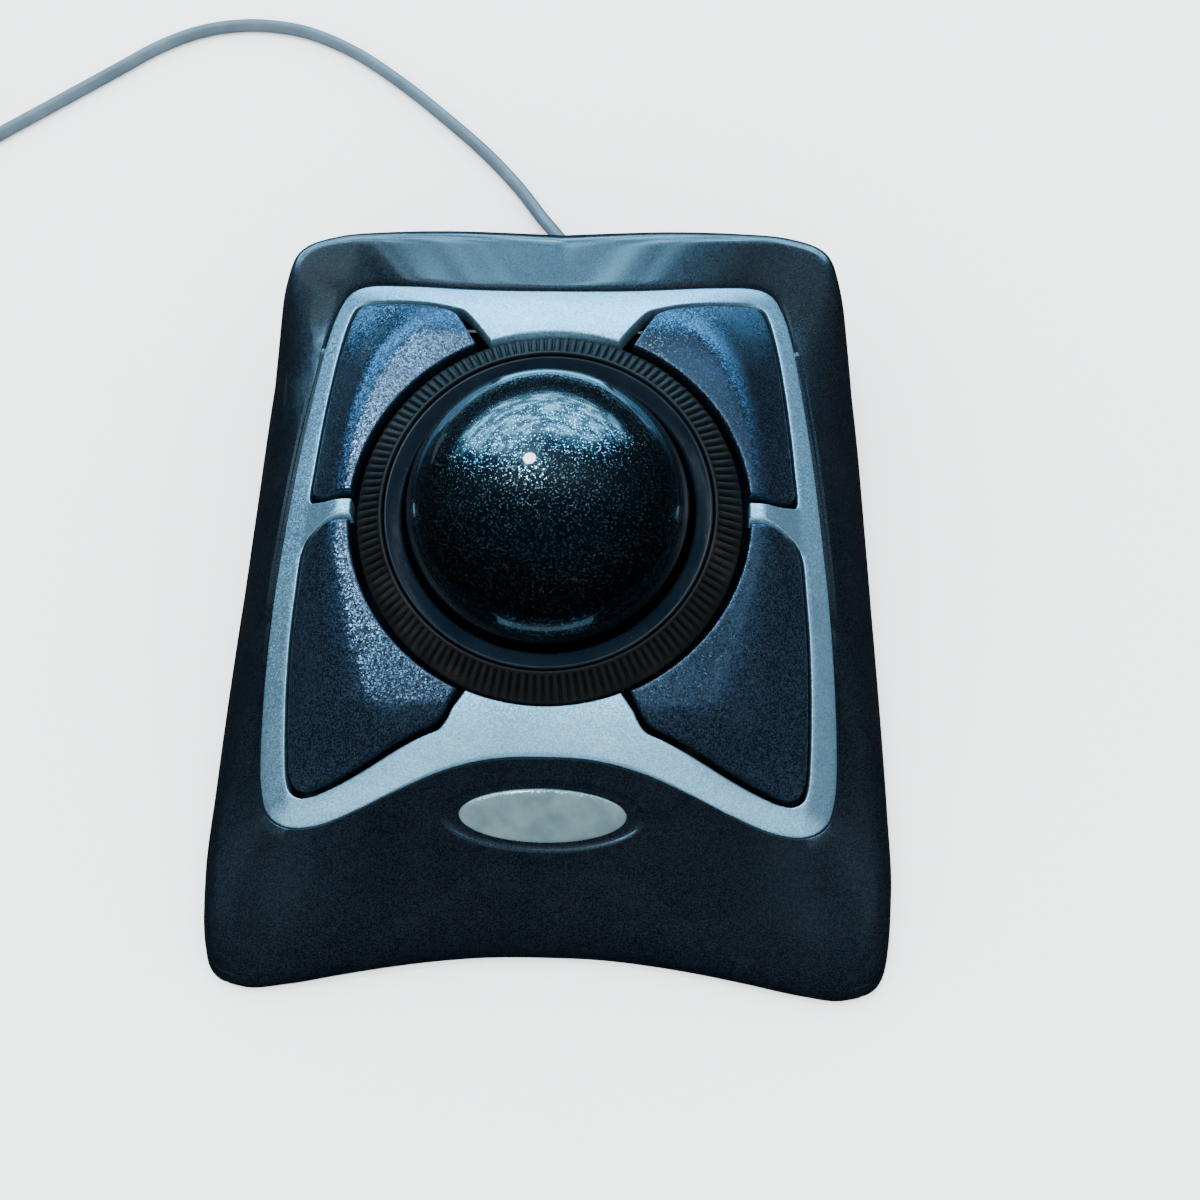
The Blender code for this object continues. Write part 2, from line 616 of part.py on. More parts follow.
def make_base(look, hidden):
    """Make the base plate with its screw bosses, standoffs and switch pedestals."""
    outline = inset(mirror_loop(spline(BASE_HALF, 1, True)), BASE_INSET)
    base = plate("base_plate", outline, [], lambda x, y: BASE_Z[1], lambda x, y: BASE_Z[0], 200.0, look)
    low = BASE_Z[1] - 0.8
    stands = []
    cuts = []
    for i, (x, y, _) in enumerate(SCREW_PLACES):
        stands.append(rod(f"boss_{i}", (x, y, 0), BOSS_RADIUS, low, BOSS_TOP, hidden, None, 16))
        bore = [(0.0, 0.0), (3.1, 0.0), (3.1, 3.1), (1.6, 3.1), (1.6, 8.0), (0.0, 8.0)]
        cuts.append(turned(f"screw_bore_{i}", bore, 12, hidden, (x, y, 0)))
    for i, (x, y) in enumerate(STANDOFF_PLACES):
        stands.append(rod(f"standoff_{i}", (x, y, 0), 2.5, low, BOARD_Z[0] - 0.3, hidden, None, 12))
    for place, (x, y) in SWITCH_PLACES.items():
        top = switch_top(place) - SWITCH_SIZE[2] - 0.3
        for side in (-1, 1):
            stands.append(block(f"pedestal_{place}_{side}", (side * x, y, (low + top) / 2),
                                (7.0, 14.0, top - low), hidden))
    operand(base, gather("base_stands", stands), "UNION")
    operand(base, gather("base_cuts", cuts), "DIFFERENCE")
    return base


def make_feet(look):
    """Make the round rubber feet that the body stands on."""
    for i, (x, y) in enumerate(FOOT_PLACES):
        rod(f"rubber_foot_{i + 1}", (x, y, 0), FOOT_RADIUS, 0.0, FOOT_HEIGHT, look, None, 24)


def make_screws(look):
    """Make the four case screws, heads down in the base."""
    for i, (x, y, depth) in enumerate(SCREW_PLACES):
        profile = [(0.0, 1.3), (2.8, 1.3), (2.8, 2.8), (1.3, 2.8), (1.3, depth - 0.4),
                   (0.0, depth - 0.4)]
        turned(f"case_screw_{i + 1}", profile, 12, look, (x, y, 0))


# ---------------------------------------------------------------- ball and ring

def make_ball(look):
    """Make the ball about its own centre."""
    rows = 15
    profile = []
    for k in range(rows + 1):
        angle = math.pi * k / rows
        radius = BALL_RADIUS * math.sin(angle)
        profile.append((0.0 if k in (0, rows) else radius, -BALL_RADIUS * math.cos(angle)))
    return turned("trackball", profile, 30, look, BALL_CENTRE)


def make_ring(look, code_look, glide_look):
    """Make the scroll ring, the toothed code ring under it and the track it glides on."""
    turn = ring_turn()
    turned("scroll_ring", RING_PROFILE, 48, look, BALL_CENTRE, turn)
    low, high = CODE_RING_HEIGHTS
    inner, outer = CODE_RING_RADII
    count = CODE_TEETH * 4
    points = []
    for k in range(count):
        angle = 2.0 * math.pi * k / count
        foot = low if k % 4 < 2 else low + 1.7
        for radius, height in ((inner, foot), (outer, foot), (outer, high), (inner, high)):
            around = Vector((radius * math.cos(angle), radius * math.sin(angle), height))
            points.append(BALL_CENTRE + turn @ around)
    faces = []
    for k in range(count):
        a = 4 * k
        b = 4 * ((k + 1) % count)
        faces += [(a + i, a + (i + 1) % 4, b + (i + 1) % 4, b + i) for i in range(4)]
    mesh_object("code_ring", points, faces, code_look, BALL_CENTRE)
    r1, r2 = GLIDE_RADII
    h1, h2 = GLIDE_HEIGHTS
    turned("ring_glide", [(r1, h1), (r2, h1), (r2, h2), (r1, h2)], 48, glide_look, BALL_CENTRE, turn)


def bowl_points(radius, start, stop, parts):
    """Return profile points on a sphere about the ball's centre, by drop angles."""
    drops = [start + (stop - start) * k / parts for k in range(parts + 1)]
    return [(radius * math.cos(a), -radius * math.sin(a)) for a in drops]


def bearing_direction(i):
    """Return the direction from the ball's centre to one bearing pin."""
    around = math.radians(-90.0 + 120.0 * i)
    flat = math.cos(BEARING_DROP)
    return Vector((flat * math.cos(around), flat * math.sin(around), -math.sin(BEARING_DROP)))


def make_cup(look, pin_look, hidden):
    """Make the cup with its foot, sensor window and three bearing pins."""
    outer_radius = CUP_BOWL_RADIUS + CUP_WALL
    flange_r, flange_h, flange_t = CUP_FLANGE
    half_pi = math.pi / 2.0
    bowl_in = bowl_points(CUP_BOWL_RADIUS, half_pi, 0.0, 7)
    bowl_out = bowl_points(outer_radius, math.asin((-flange_h + flange_t) / outer_radius), half_pi, 5)
    bowl_in[0] = (0.0, -CUP_BOWL_RADIUS)
    bowl_out[-1] = (0.0, -outer_radius)
    profile = bowl_in + [CUP_LIP, CUP_RIM, (CUP_RIM[0], flange_h), (flange_r, flange_h),
                         (flange_r, flange_h - flange_t)] + bowl_out
    cup = turned("ball_cup", profile, 36, look, BALL_CENTRE, ring_turn())
    r1, r2, z1, z2 = CUP_FOOT
    place = (BALL_CENTRE.x, BALL_CENTRE.y, 0)
    foot = turned("cup_foot", [(r1, z1), (r2, z1), (r2, z2), (r1, z2)], 20, hidden, place)
    operand(cup, foot, "UNION")
    cuts = [rod("sensor_window", BALL_CENTRE, 4.0, 26.0, 32.0, hidden, aim(sensor_direction()), 16)]
    for i in range(3):
        turn = aim(bearing_direction(i))
        cuts.append(rod(f"bearing_bore_{i}", BALL_CENTRE, BEARING_RADIUS + 0.3, 26.0, 33.0, hidden,
                        turn, 12))
        low, high = BEARING_SPAN
        profile = [(0.0, low), (0.8, low + 0.15), (BEARING_RADIUS, low + 0.7),
                   (BEARING_RADIUS, high), (0.0, high)]
        turned(f"support_bearing_{i + 1}", profile, 12, pin_look, BALL_CENTRE, turn)
    operand(cup, gather("cup_cuts", cuts), "DIFFERENCE")
    return cup


def sensor_direction():
    """Return the direction from the ball's centre to its optical sensor."""
    return Vector((0.0, math.cos(SENSOR_DROP), -math.sin(SENSOR_DROP)))


def make_sensor(chip_look, lens_look, lamp_look, board_look):
    """Make the lens, sensor, lamp and small board that read the ball."""
    direction = sensor_direction()
    turn = aim(direction)
    rod("sensor_lens", BALL_CENTRE, 3.6, 28.7, 31.2, lens_look, turn, 24)
    across = turn @ Vector((1.0, 0.0, 0.0))
    block("optical_sensor", BALL_CENTRE + direction * 32.6, (8.0, 8.0, 2.2), chip_look, turn)
    lamp = BALL_CENTRE + direction * 32.4 + across * 7.0
    block("sensor_led", lamp, (3.0, 3.0, 2.2), lamp_look, turn)
    block("sensor_board", BALL_CENTRE + direction * 34.6, (20.0, 12.0, 1.2), board_look, turn)


def make_ring_sensor(look):
    """Make the reader on the cup's flange, under the code ring."""
    turn = ring_turn()
    middle = (CODE_RING_RADII[0] + CODE_RING_RADII[1]) / 2.0
    height = (CUP_FLANGE[1] + 0.3 + CODE_RING_HEIGHTS[0] - 0.3) / 2.0
    size = (2.6, 5.0, CODE_RING_HEIGHTS[0] - 0.3 - CUP_FLANGE[1] - 0.3)
    block("ring_sensor", BALL_CENTRE + turn @ Vector((middle, 0.0, height)), size, look, turn)


# ---------------------------------------------------------------- switches and board

def switch_top(place):
    """Return the height of a switch body's top, a plunger's length under its button."""
    x, y = SWITCH_PLACES[place]
    return crown(x, y) - BUTTON_THICKNESS - PLUNGER_ROOM - PLUNGER_LENGTH


def make_switches(body_look, plunger_look):
    """Make a switch body and its plunger under each button."""
    for place, (x, y) in SWITCH_PLACES.items():
        for side, word in ((-1, "left"), (1, "right")):
            top = switch_top(place)
            centre = (side * x, y, top - SWITCH_SIZE[2] / 2)
            block(f"microswitch_{place}_{word}", centre, SWITCH_SIZE, body_look)
            rod(f"switch_plunger_{place}_{word}", (side * x, y, top + PLUNGER_GAP), PLUNGER_RADIUS,
                0.0, PLUNGER_LENGTH, plunger_look, None, 12)


def make_board(board_look, chip_look, plug_look):
    """Make the main circuit board, its controller and the cord's plug-in socket."""
    y1, y2 = BOARD_Y
    middle = ((y1 + y2) / 2.0, (BOARD_Z[0] + BOARD_Z[1]) / 2.0)
    block("circuit_board", (0, middle[0], middle[1]), (2 * BOARD_X, y2 - y1, BOARD_Z[1] - BOARD_Z[0]),
          board_look)
    block("controller_chip", (-16.0, 50.0, BOARD_Z[1] + 1.2), (10.0, 10.0, 1.8), chip_look)
    block("cord_connector", (0.0, 58.0, BOARD_Z[1] + 3.3), (12.0, 6.0, 6.0), plug_look)


def make_badge(look):
    """Make the blank domed badge in its recess."""
    return badge_solid("badge_dome", BADGE_DOME, -BADGE_DEPTH + 0.3, -0.2, look, 0.9)


# ---------------------------------------------------------------- cord

def make_strain_relief(look):
    """Make the moulded boot that holds the cord in the rear wall."""
    back = 77.0
    profile = [(0.0, 70.5 - back), (4.6, 70.5 - back), (4.6, 74.3 - back), (3.1, 74.3 - back),
               (3.1, 78.4 - back), (2.9, 80.0 - back), (2.1, RELIEF_END_Y - back),
               (0.0, RELIEF_END_Y - back)]
    return turned("strain_relief", profile, 16, look, (0, back, CORD_EXIT_Z), aim((0, 1, 0)))


def make_cord(look):
    """Sweep the uncoiled cord along its route on the table."""
    start = (0.0, RELIEF_END_Y + 0.3, CORD_EXIT_Z)
    route = spline([start] + CORD_ROUTE + [COIL_ENTRY], 2)
    curve = bpy.data.curves.new("cord_tube", "CURVE")
    curve.dimensions = "3D"
    curve.bevel_depth = CORD_RADIUS * MM
    curve.bevel_resolution = 2
    curve.use_fill_caps = True
    line = curve.splines.new("POLY")
    line.points.add(len(route) - 1)
    for point, place in zip(line.points, route):
        point.co = (*(Vector(place) * MM), 1.0)
    curve.materials.append(look)
    made = bpy.data.objects.new("cord_tube", curve)
    bpy.context.collection.objects.link(made)


def make_coil(look):
    """Make the outer shape of the wound cord as one turned ring."""
    r1, r2 = COIL_RADII
    h = COIL_HEIGHT
    edge = 1.2
    profile = [(r1, edge), (r1 + edge, 0.0), (r2 - edge, 0.0), (r2, edge),
               (r2, h - edge), (r2 - edge, h), (r1 + edge, h), (r1, h - edge)]
    turned("cord_coil", profile, 32, look, (*COIL_CENTRE, 0.0))


def make_plug(mould_look, shell_look, tongue_look):
    """Make the flat computer plug beside the coil."""
    ahead = aim((0, 1, 0))
    y = PLUG_START_Y
    profile = [(0.0, 0.0), (2.2, 0.0), (3.2, 8.0), (0.0, 8.0)]
    relief = turned("plug_relief", profile, 20, mould_look, (PLUG_X, y, PLUG_AXIS_Z), ahead)
    body_y = y + 8.3
    outline = [(-7.8, 0.0), (7.8, 0.0), (7.8, 20.0), (6.8, 22.0), (-6.8, 22.0), (-7.8, 20.0)]
    outline = [(PLUG_X + a, body_y + b) for a, b in outline]
    prism("plug_body", outline, PLUG_AXIS_Z - 4.0, PLUG_AXIS_Z + 4.0, mould_look)
    shell_y = body_y + 22.3
    length = 11.7
    shell = block("plug_shell", (PLUG_X, shell_y + length / 2, PLUG_AXIS_Z), (12.0, length, 4.5), shell_look)
    cavity = block("plug_cavity", (PLUG_X, shell_y + length / 2 + 1.0, PLUG_AXIS_Z), (11.3, length, 3.8),
                   shell_look)
    operand(shell, cavity, "DIFFERENCE")
    block("plug_tongue", (PLUG_X, shell_y + length / 2 + 0.4, PLUG_AXIS_Z + 0.6), (10.7, 10.0, 1.8),
          tongue_look)
    return relief


def build():
    """Build the whole trackball."""
    clear_scene()
    housing = material("housing_graphite", (0.055, 0.075, 0.095), 0.34, 0.25)
    silver = material("bezel_silver_blue", (0.42, 0.50, 0.56), 0.36, 0.75)
    graphite = material("button_graphite", (0.10, 0.12, 0.15), 0.38, 0.45)
    rubber = material("ring_rubber", (0.030, 0.028, 0.027), 0.75)
    glossy = material("cup_gloss_black", (0.010, 0.016, 0.026), 0.16)
    ball = material("ball_speckled", (0.018, 0.022, 0.030), 0.08, 0.2)
    dark = material("base_black", (0.018, 0.020, 0.022), 0.55)
    steel = material("bright_steel", (0.56, 0.57, 0.58), 0.28, 1.0)
    pin = material("bearing_ceramic", (0.80, 0.80, 0.78), 0.25)
    board = material("board_green", (0.015, 0.14, 0.05), 0.45)
    chip = material("chip_black", (0.02, 0.02, 0.02), 0.5)
    white = material("nylon_white", (0.74, 0.74, 0.70), 0.5)
    lens = material("lens_clear", (0.70, 0.76, 0.80), 0.08)
    lamp = material("led_red", (0.55, 0.03, 0.02), 0.2)
    badge = material("badge_silver", (0.66, 0.74, 0.70), 0.18, 0.6)
    cord = material("cord_grey", (0.055, 0.075, 0.085), 0.5)
    hidden = material("cutter", (0.5, 0.5, 0.5), 0.5)
    make_base(dark, hidden)
    make_cover(housing, hidden)
    make_bezel(silver)
    for place in ("rear", "front"):
        for side, word in ((-1, "left"), (1, "right")):
            make_button(f"button_{place}_{word}", side, place, graphite)
    make_cup(glossy, pin, hidden)
    make_ball(ball)
    make_ring(rubber, chip, white)
    make_sensor(chip, lens, lamp, board)
    make_ring_sensor(chip)
    make_switches(chip, white)
    make_board(board, chip, white)
    make_badge(badge)
    make_feet(rubber)
    make_screws(steel)
    make_strain_relief(cord)
    make_cord(cord)
    make_coil(cord)
    make_plug(dark, steel, white)


build()
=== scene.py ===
"""Desktop trackball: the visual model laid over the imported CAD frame.

Lengths in the tables below are millimetres; every mesh is turned into metres as it is made.
"""

import json
import math

import bmesh
import bpy
import numpy as np
from mathutils import Matrix, Vector
from mathutils.bvhtree import BVHTree
from mathutils.geometry import delaunay_2d_cdt

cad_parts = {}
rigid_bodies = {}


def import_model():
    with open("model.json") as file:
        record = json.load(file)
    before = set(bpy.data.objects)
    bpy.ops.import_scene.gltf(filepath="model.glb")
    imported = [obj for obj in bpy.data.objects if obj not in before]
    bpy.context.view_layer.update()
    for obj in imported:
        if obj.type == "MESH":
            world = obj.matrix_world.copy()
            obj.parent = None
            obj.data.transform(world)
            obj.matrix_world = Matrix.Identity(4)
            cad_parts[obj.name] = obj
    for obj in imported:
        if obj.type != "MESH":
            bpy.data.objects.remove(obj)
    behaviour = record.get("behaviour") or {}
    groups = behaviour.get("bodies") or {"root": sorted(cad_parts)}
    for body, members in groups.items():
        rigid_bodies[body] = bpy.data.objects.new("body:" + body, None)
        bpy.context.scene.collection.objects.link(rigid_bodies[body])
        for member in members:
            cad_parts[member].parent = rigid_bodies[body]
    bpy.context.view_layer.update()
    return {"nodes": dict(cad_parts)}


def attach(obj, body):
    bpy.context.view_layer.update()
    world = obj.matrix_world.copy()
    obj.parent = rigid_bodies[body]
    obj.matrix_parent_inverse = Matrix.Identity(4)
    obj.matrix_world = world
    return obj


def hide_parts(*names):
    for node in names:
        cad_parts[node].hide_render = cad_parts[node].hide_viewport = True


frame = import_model()
MM = 0.001

# ---------------------------------------------------------------- camera

CAMERA_PLACE = Vector((18.0, -103.5, 259.3))
CAMERA_YAW = math.radians(-4.63)
CAMERA_PITCH = math.radians(22.89)
CAMERA_ROLL = math.radians(-3.47)
CAMERA_LENS = 38.4


def camera_axes(yaw, pitch, roll):
    """Return right, up and forward of a camera tilted by pitch from straight down."""
    forward = Vector((math.sin(pitch) * math.sin(yaw), math.sin(pitch) * math.cos(yaw), -math.cos(pitch)))
    level = Vector((math.cos(pitch) * math.sin(yaw), math.cos(pitch) * math.cos(yaw), math.sin(pitch)))
    side = forward.cross(level)
    right = side * math.cos(roll) + level * math.sin(roll)
    up = level * math.cos(roll) - side * math.sin(roll)
    return right, up, forward


def make_camera():
    """Place the camera in front of the part, 23 degrees from straight above."""
    right, up, forward = camera_axes(CAMERA_YAW, CAMERA_PITCH, CAMERA_ROLL)
    data = bpy.data.cameras.new("view_camera")
    data.lens = CAMERA_LENS
    data.sensor_width = 36.0
    data.clip_start = 0.01
    data.clip_end = 20.0
    made = bpy.data.objects.new("view_camera", data)
    turn = Matrix((right, up, -forward)).transposed().to_4x4()
    made.matrix_world = Matrix.Translation(CAMERA_PLACE * MM) @ turn
    bpy.context.collection.objects.link(made)
    bpy.context.scene.camera = made


make_camera()

# ---------------------------------------------------------------- shape constants

BALL_RADIUS = 27.5
BALL_CENTRE = Vector((0.0, 8.5, 37.0))
RING_TILT = math.radians(7.8)
RING_TURN = Matrix.Rotation(RING_TILT, 3, "X")
RIB_COUNT = 140
# One rib's course around the ring, as its share of the pitch and of the groove's depth.
RIB_SHAPE = [(0.0, 1.0), (0.12, 1.0), (0.22, 0.86), (0.28, 0.22), (0.36, 0.03), (0.5, 0.0),
             (0.64, 0.0), (0.78, 0.03), (0.86, 0.22), (0.92, 0.86)]
RING_TOP = [(32.1, -3.0), (32.1, 2.75), (32.2, 2.98), (32.42, 3.08), (32.7, 3.0), (32.85, 2.78),
            (33.0, 2.56), (33.6, 2.22), (34.4, 1.76), (35.2, 1.29), (35.9, 0.88), (36.35, 0.6),
            (36.7, 0.24), (37.1, -0.22), (37.45, -0.66), (37.66, -1.1), (37.7, -1.6), (37.7, -4.0)]
# How deep the grooves between the ribs are at each point of the ring's top.
RIB_DEPTH = [0.0, 0.0, 0.0, 0.0, 0.0, 0.0, 0.55, 0.8, 0.9, 0.95, 0.95, 0.9, 0.72, 0.5, 0.28, 0.1, 0.0, 0.0]
RING_UNDERSIDE = [(36.2, -4.0), (36.2, -1.4), (33.9, 0.2), (33.6, -4.0), (32.1, -4.0)]
BOWL_RADIUS = 28.4
BOWL_OUTER_RADIUS = 30.2
CUP_RIM = [(28.42, 0.8), (28.46, 1.25), (28.6, 1.55), (28.85, 1.72), (29.15, 1.82), (30.2, 2.25),
           (31.2, 2.66), (31.5, 2.74), (31.68, 2.66), (31.75, 2.4), (31.75, -6.0), (41.0, -9.0),
           (41.0, -10.8), (29.0, -10.8)]

CROWN_HEIGHT = 36.5
CROWN_SLOPE = math.tan(RING_TILT)
REAR_DROOP = (46.0, 0.031)
FRONT_DROOP = (-28.3, 0.043)
RAIL_SLOPE = 0.45
RAIL_STATIONS = [(-52.0, 49.5, 12.0, 0.30, 5.0), (-40.0, 51.1, 15.6, 0.36, 5.0),
                 (-30.0, 51.5, 19.0, 0.81, 5.0), (-20.0, 51.4, 22.4, 0.857, 3.6),
                 (-6.0, 50.8, 26.2, 0.966, 2.8), (2.0, 50.2, 27.8, 1.15, 2.5),
                 (14.0, 49.3, 29.3, 1.136, 2.5), (25.0, 48.6, 30.3, 1.143, 2.7),
                 (35.0, 47.7, 31.2, 0.97, 3.0), (42.0, 46.9, 31.8, 0.815, 3.2),
                 (55.0, 44.8, 33.0, 0.47, 3.5), (68.0, 42.0, 33.2, 0.42, 4.0)]
BEZEL_HALF = [(0, 59.8), (17, 60.3), (32, 62.5), (40.0, 64.1), (44.7, 63.2), (47.2, 59.5),
              (49.2, 52.0), (51.2, 39.0), (53.0, 24.0), (54.7, 5.0), (56.2, -15.0),
              (57.0, -32.0), (56.7, -41.0), (54.9, -46.3), (50.6, -48.4), (44, -47.9),
              (36, -45.5), (28, -42.5), (19.5, -39.6), (10, -37.5), (0, -37.0)]
BASE_HALF = [(0, 77.6), (20, 77.6), (38, 77.6), (49.2, 77.5), (57.8, 74.4), (61.4, 67.0),
             (63.2, 56.0), (64.8, 40.0), (66.0, 24.0), (67.1, 3.0), (67.9, -22.0),
             (68.3, -42.0), (68.1, -58.0), (65.4, -73.6), (58.5, -77.5), (50.0, -76.9),
             (40, -75.0), (30.5, -73.3), (20.5, -71.9), (10.5, -71.0), (0, -70.8)]
OPENING_CENTRE_Y = 8.9
OPENING_AXES = (39.0, 38.1)
ARM_TIP = ((38.97, 11.1), (38.97, 7.9))
BEZEL_THICKNESS = 4.2
BUTTON_THICKNESS = 2.5
BUTTON_GAP = 0.25
REAR_OPENING = [(18.0, 51.4), (19.3, 52.6), (21.2, 53.4), (28.9, 55.9), (37.9, 58.3),
                (41.3, 58.9), (43.2, 58.2), (44.2, 56.3), (46.0, 48.5), (47.3, 39.2),
                (48.3, 29.5), (49.0, 20.0), (49.3, 15.2), (48.9, 13.6), (47.5, 12.8),
                (44.2, 11.4), (42.0, 11.1)]
FRONT_OPENING = [(42.0, 7.9), (44.2, 7.6), (47.5, 6.4), (49.2, 5.2), (50.0, 3.2),
                 (50.7, -4.8), (51.3, -13.0), (51.6, -23.7), (51.5, -34.5),
                 (51.1, -40.0), (50.2, -42.4), (48.4, -43.6), (46.0, -43.6),
                 (41.5, -42.3), (37.3, -40.7), (29.8, -37.6), (22.3, -34.6),
                 (19.4, -33.4), (18.0, -31.8), (17.0, -29.8)]
NOTCH_X = (13.0, 14.6)
REAR_BUTTON_EDGE = [(20.4, 51.6), (22.2, 52.7), (28.9, 55.1), (37.7, 57.6), (41.0, 58.2),
                    (42.6, 57.5), (43.5, 55.9), (45.4, 48.4), (46.7, 39.1), (47.7, 29.5),
                    (48.4, 20.0), (48.7, 16.0), (48.0, 14.9), (44.0, 12.9), (42.0, 12.7)]
FRONT_BUTTON_EDGE = [(42.0, 6.9), (44.0, 6.6), (47.1, 5.3), (48.6, 4.3), (49.4, 2.6),
                     (50.1, -4.8), (50.7, -13.0), (51.0, -23.7), (50.9, -34.4),
                     (50.4, -39.6), (49.5, -41.4), (48.1, -42.3), (46.1, -42.3),
                     (41.9, -41.0), (37.8, -39.4), (30.3, -36.3), (23.0, -33.3),
                     (20.2, -32.0), (18.9, -30.8)]
REAR_BUTTON_NOTCH = (15.8, 43.9)
FRONT_BUTTON_NOTCH = (16.4, -26.0)
BEZEL_FRONT_STEP = 2.6
FRONT_STEP_START_Y = -30.0
FRONT_STEP_HALF = 52.0
BEZEL_PROUD = 0.2
COVER_GAP = 0.35
COVER_WALL = 2.0
COVER_RIM_Z = 1.2
COVER_LIP = 0.45
SECTION_START = 0.04
SECTION_STEPS = 34
SKIN_THICKNESS = 1.2
SKIN_OFFSET = 0.33
# Stations along the outlines' rows: the cover's knee, as its fall from the bezel edge, its
# lean from the foot and the reach of its rounding; the front is a free curve instead.
COVER_SHAPE = [(0.0, 0.03, 0.02, 4.9), (3.0, -0.06, 0.01, 4.2), (5.0, -0.05, 0.06, 4.4),
               (7.0, 0.20, 0.025, 15.0), (9.0, 0.38, 0.035, 16.5), (11.0, 0.39, 0.133, 11.6),
               (13.0, 0.38, 0.232, 9.0), (20.0, 0.40, 0.33, 8.0)]
COVER_FRONT = (12.4, 14.4)
FRONT_REACH = 0.62
FRONT_FALL = 0.42
FRONT_STAND = (7.5, 0.62)
ROUNDING_SPAN = (0.38, 0.76)
BADGE_CENTRE = Vector((0.0, -47.3, 19.6))
BADGE_SLOPE = math.radians(25.3)
BADGE_TURN = Matrix.Rotation(BADGE_SLOPE, 3, "X")
BADGE_RECESS = (19.0, 6.3)
# The dish's rows from the open side down: how far outside its ellipse, and how high over the surface.
DISH_ROWS = [(1.0, 6.4), (1.0, 0.5), (0.75, 0.4), (0.45, 0.28), (0.15, 0.06), (-0.1, -0.10),
             (-0.6, -0.24), (-1.3, -0.28)]
BADGE_DOME = (16.0, 5.2)
BADGE_UNDERSIDE = -0.6
BADGE_EDGE = -0.32
BADGE_RISE = 0.95

CORD_RADIUS = 1.6
CORD_EXIT_Z = 8.0
CORD_BORE_RADIUS = 3.35
REAR_WALL_Y = 77.0
RELIEF_END_Y = 87.0
RELIEF_RIBS = 5
RELIEF_PITCH = 1.55
CORD_ROUTE = [(-0.3, 93.6, 7.3), (-3.6, 100.5, 4.7), (-7.8, 107.9, 2.3), (-13.9, 117.5, 1.62),
              (-22.4, 128.1, 1.62), (-34.1, 140.3, 1.62), (-47.8, 153.2, 1.62),
              (-61.7, 164.0, 1.62), (-75.5, 170.8, 1.62), (-90.0, 173.0, 1.62),
              (-103.0, 170.8, 1.62), (-113.5, 165.4, 1.62), (-123.0, 157.8, 1.62),
              (-134.0, 148.9, 1.62), (-147.0, 138.4, 1.62)]
COIL_ENTRY = (-162.2, 126.2, 1.62)
COIL_CENTRE = (-192.0, 139.0)
COIL_OUTER_TURN = 28.9
COIL_PITCH = 3.22
COIL_TURNS = 6
COIL_SIDES = 48
COIL_LOW_Z = 1.62
PLUG_X = -220.9
PLUG_START_Y = 157.4
PLUG_AXIS_Z = 4.1
PLUG_BODY_START = 8.3
PLUG_OUTLINE = [(-7.8, 1.2), (-6.9, 0.0), (6.9, 0.0), (7.8, 1.2), (7.8, 20.0), (6.8, 22.0),
                (-6.8, 22.0), (-7.8, 20.0)]
PLUG_LAYERS = [(0.86, -4.0), (0.955, -3.75), (1.0, -3.0), (1.0, 3.0), (0.955, 3.75), (0.86, 4.0)]
GRIP_SPAN = (5.0, 17.0)
GRIP_GROOVES = 4
GRIP_DEPTH = 0.35


# ---------------------------------------------------------------- curve helpers

def catmull(points, spacing):
    """Sample a centripetal Catmull-Rom curve through points at about a spacing."""
    pts = [np.array(p, float) for p in points]
    ext = [2 * pts[0] - pts[1], *pts, 2 * pts[-1] - pts[-2]]
    out = []
    for a, b, c, d in zip(ext, ext[1:], ext[2:], ext[3:]):
        ta = 0.0
        tb = ta + max(np.linalg.norm(b - a), 1e-6) ** 0.5
        tc = tb + max(np.linalg.norm(c - b), 1e-6) ** 0.5
        td = tc + max(np.linalg.norm(d - c), 1e-6) ** 0.5
        parts = max(2, int(math.ceil(np.linalg.norm(c - b) / spacing)))
        for k in range(parts):
            t = tb + (tc - tb) * k / parts
            ab = a * (tb - t) / (tb - ta) + b * (t - ta) / (tb - ta)
            bc = b * (tc - t) / (tc - tb) + c * (t - tb) / (tc - tb)
            cd = c * (td - t) / (td - tc) + d * (t - tc) / (td - tc)
            abc = ab * (tc - t) / (tc - ta) + bc * (t - ta) / (tc - ta)
            bcd = bc * (td - t) / (td - tb) + cd * (t - tb) / (td - tb)
            out.append(abc * (tc - t) / (tc - tb) + bcd * (t - tb) / (tc - tb))
    out.append(pts[-1])
    return [tuple(float(v) for v in p) for p in out]


def half_spline(points, parts):
    """Sample a right half outline, parts times in each span; its mirror image carries it on."""
    pts = [np.array(p, float) for p in points]
    mirror = np.array([-1.0, 1.0])
    ext = [pts[1] * mirror, *pts, pts[-2] * mirror]
    curve = []
    for before, a, b, after in zip(ext, ext[1:], ext[2:], ext[3:]):
        for k in range(parts):
            t = k / parts
            w = (-0.5 * t + t * t - 0.5 * t ** 3, 1 - 2.5 * t * t + 1.5 * t ** 3,
                 0.5 * t + 2 * t * t - 1.5 * t ** 3, -0.5 * t * t + 0.5 * t ** 3)
            curve.append(w[0] * before + w[1] * a + w[2] * b + w[3] * after)
    curve.append(pts[-1])
    return np.array(curve)


def read_table(table, column, at):
    """Read one column of a table of stations at places, on a smooth curve through them."""
    xs, ys = np.array([(row[0], row[column]) for row in table]).T
    chords = np.diff(ys) / np.diff(xs)
    slopes = np.concatenate((chords[:1], (ys[2:] - ys[:-2]) / (xs[2:] - xs[:-2]), chords[-1:]))
    at = np.clip(at, xs[0], xs[-1])
    i = np.clip(np.searchsorted(xs, at, side="right") - 1, 0, len(xs) - 2)
    span = xs[i + 1] - xs[i]
    t = (at - xs[i]) / span
    rise = (3 - 2 * t) * t * t
    ease = span * (t * (1 - t) ** 2 * slopes[i] - t * t * (1 - t) * slopes[i + 1])
    return ys[i] + rise * (ys[i + 1] - ys[i]) + ease


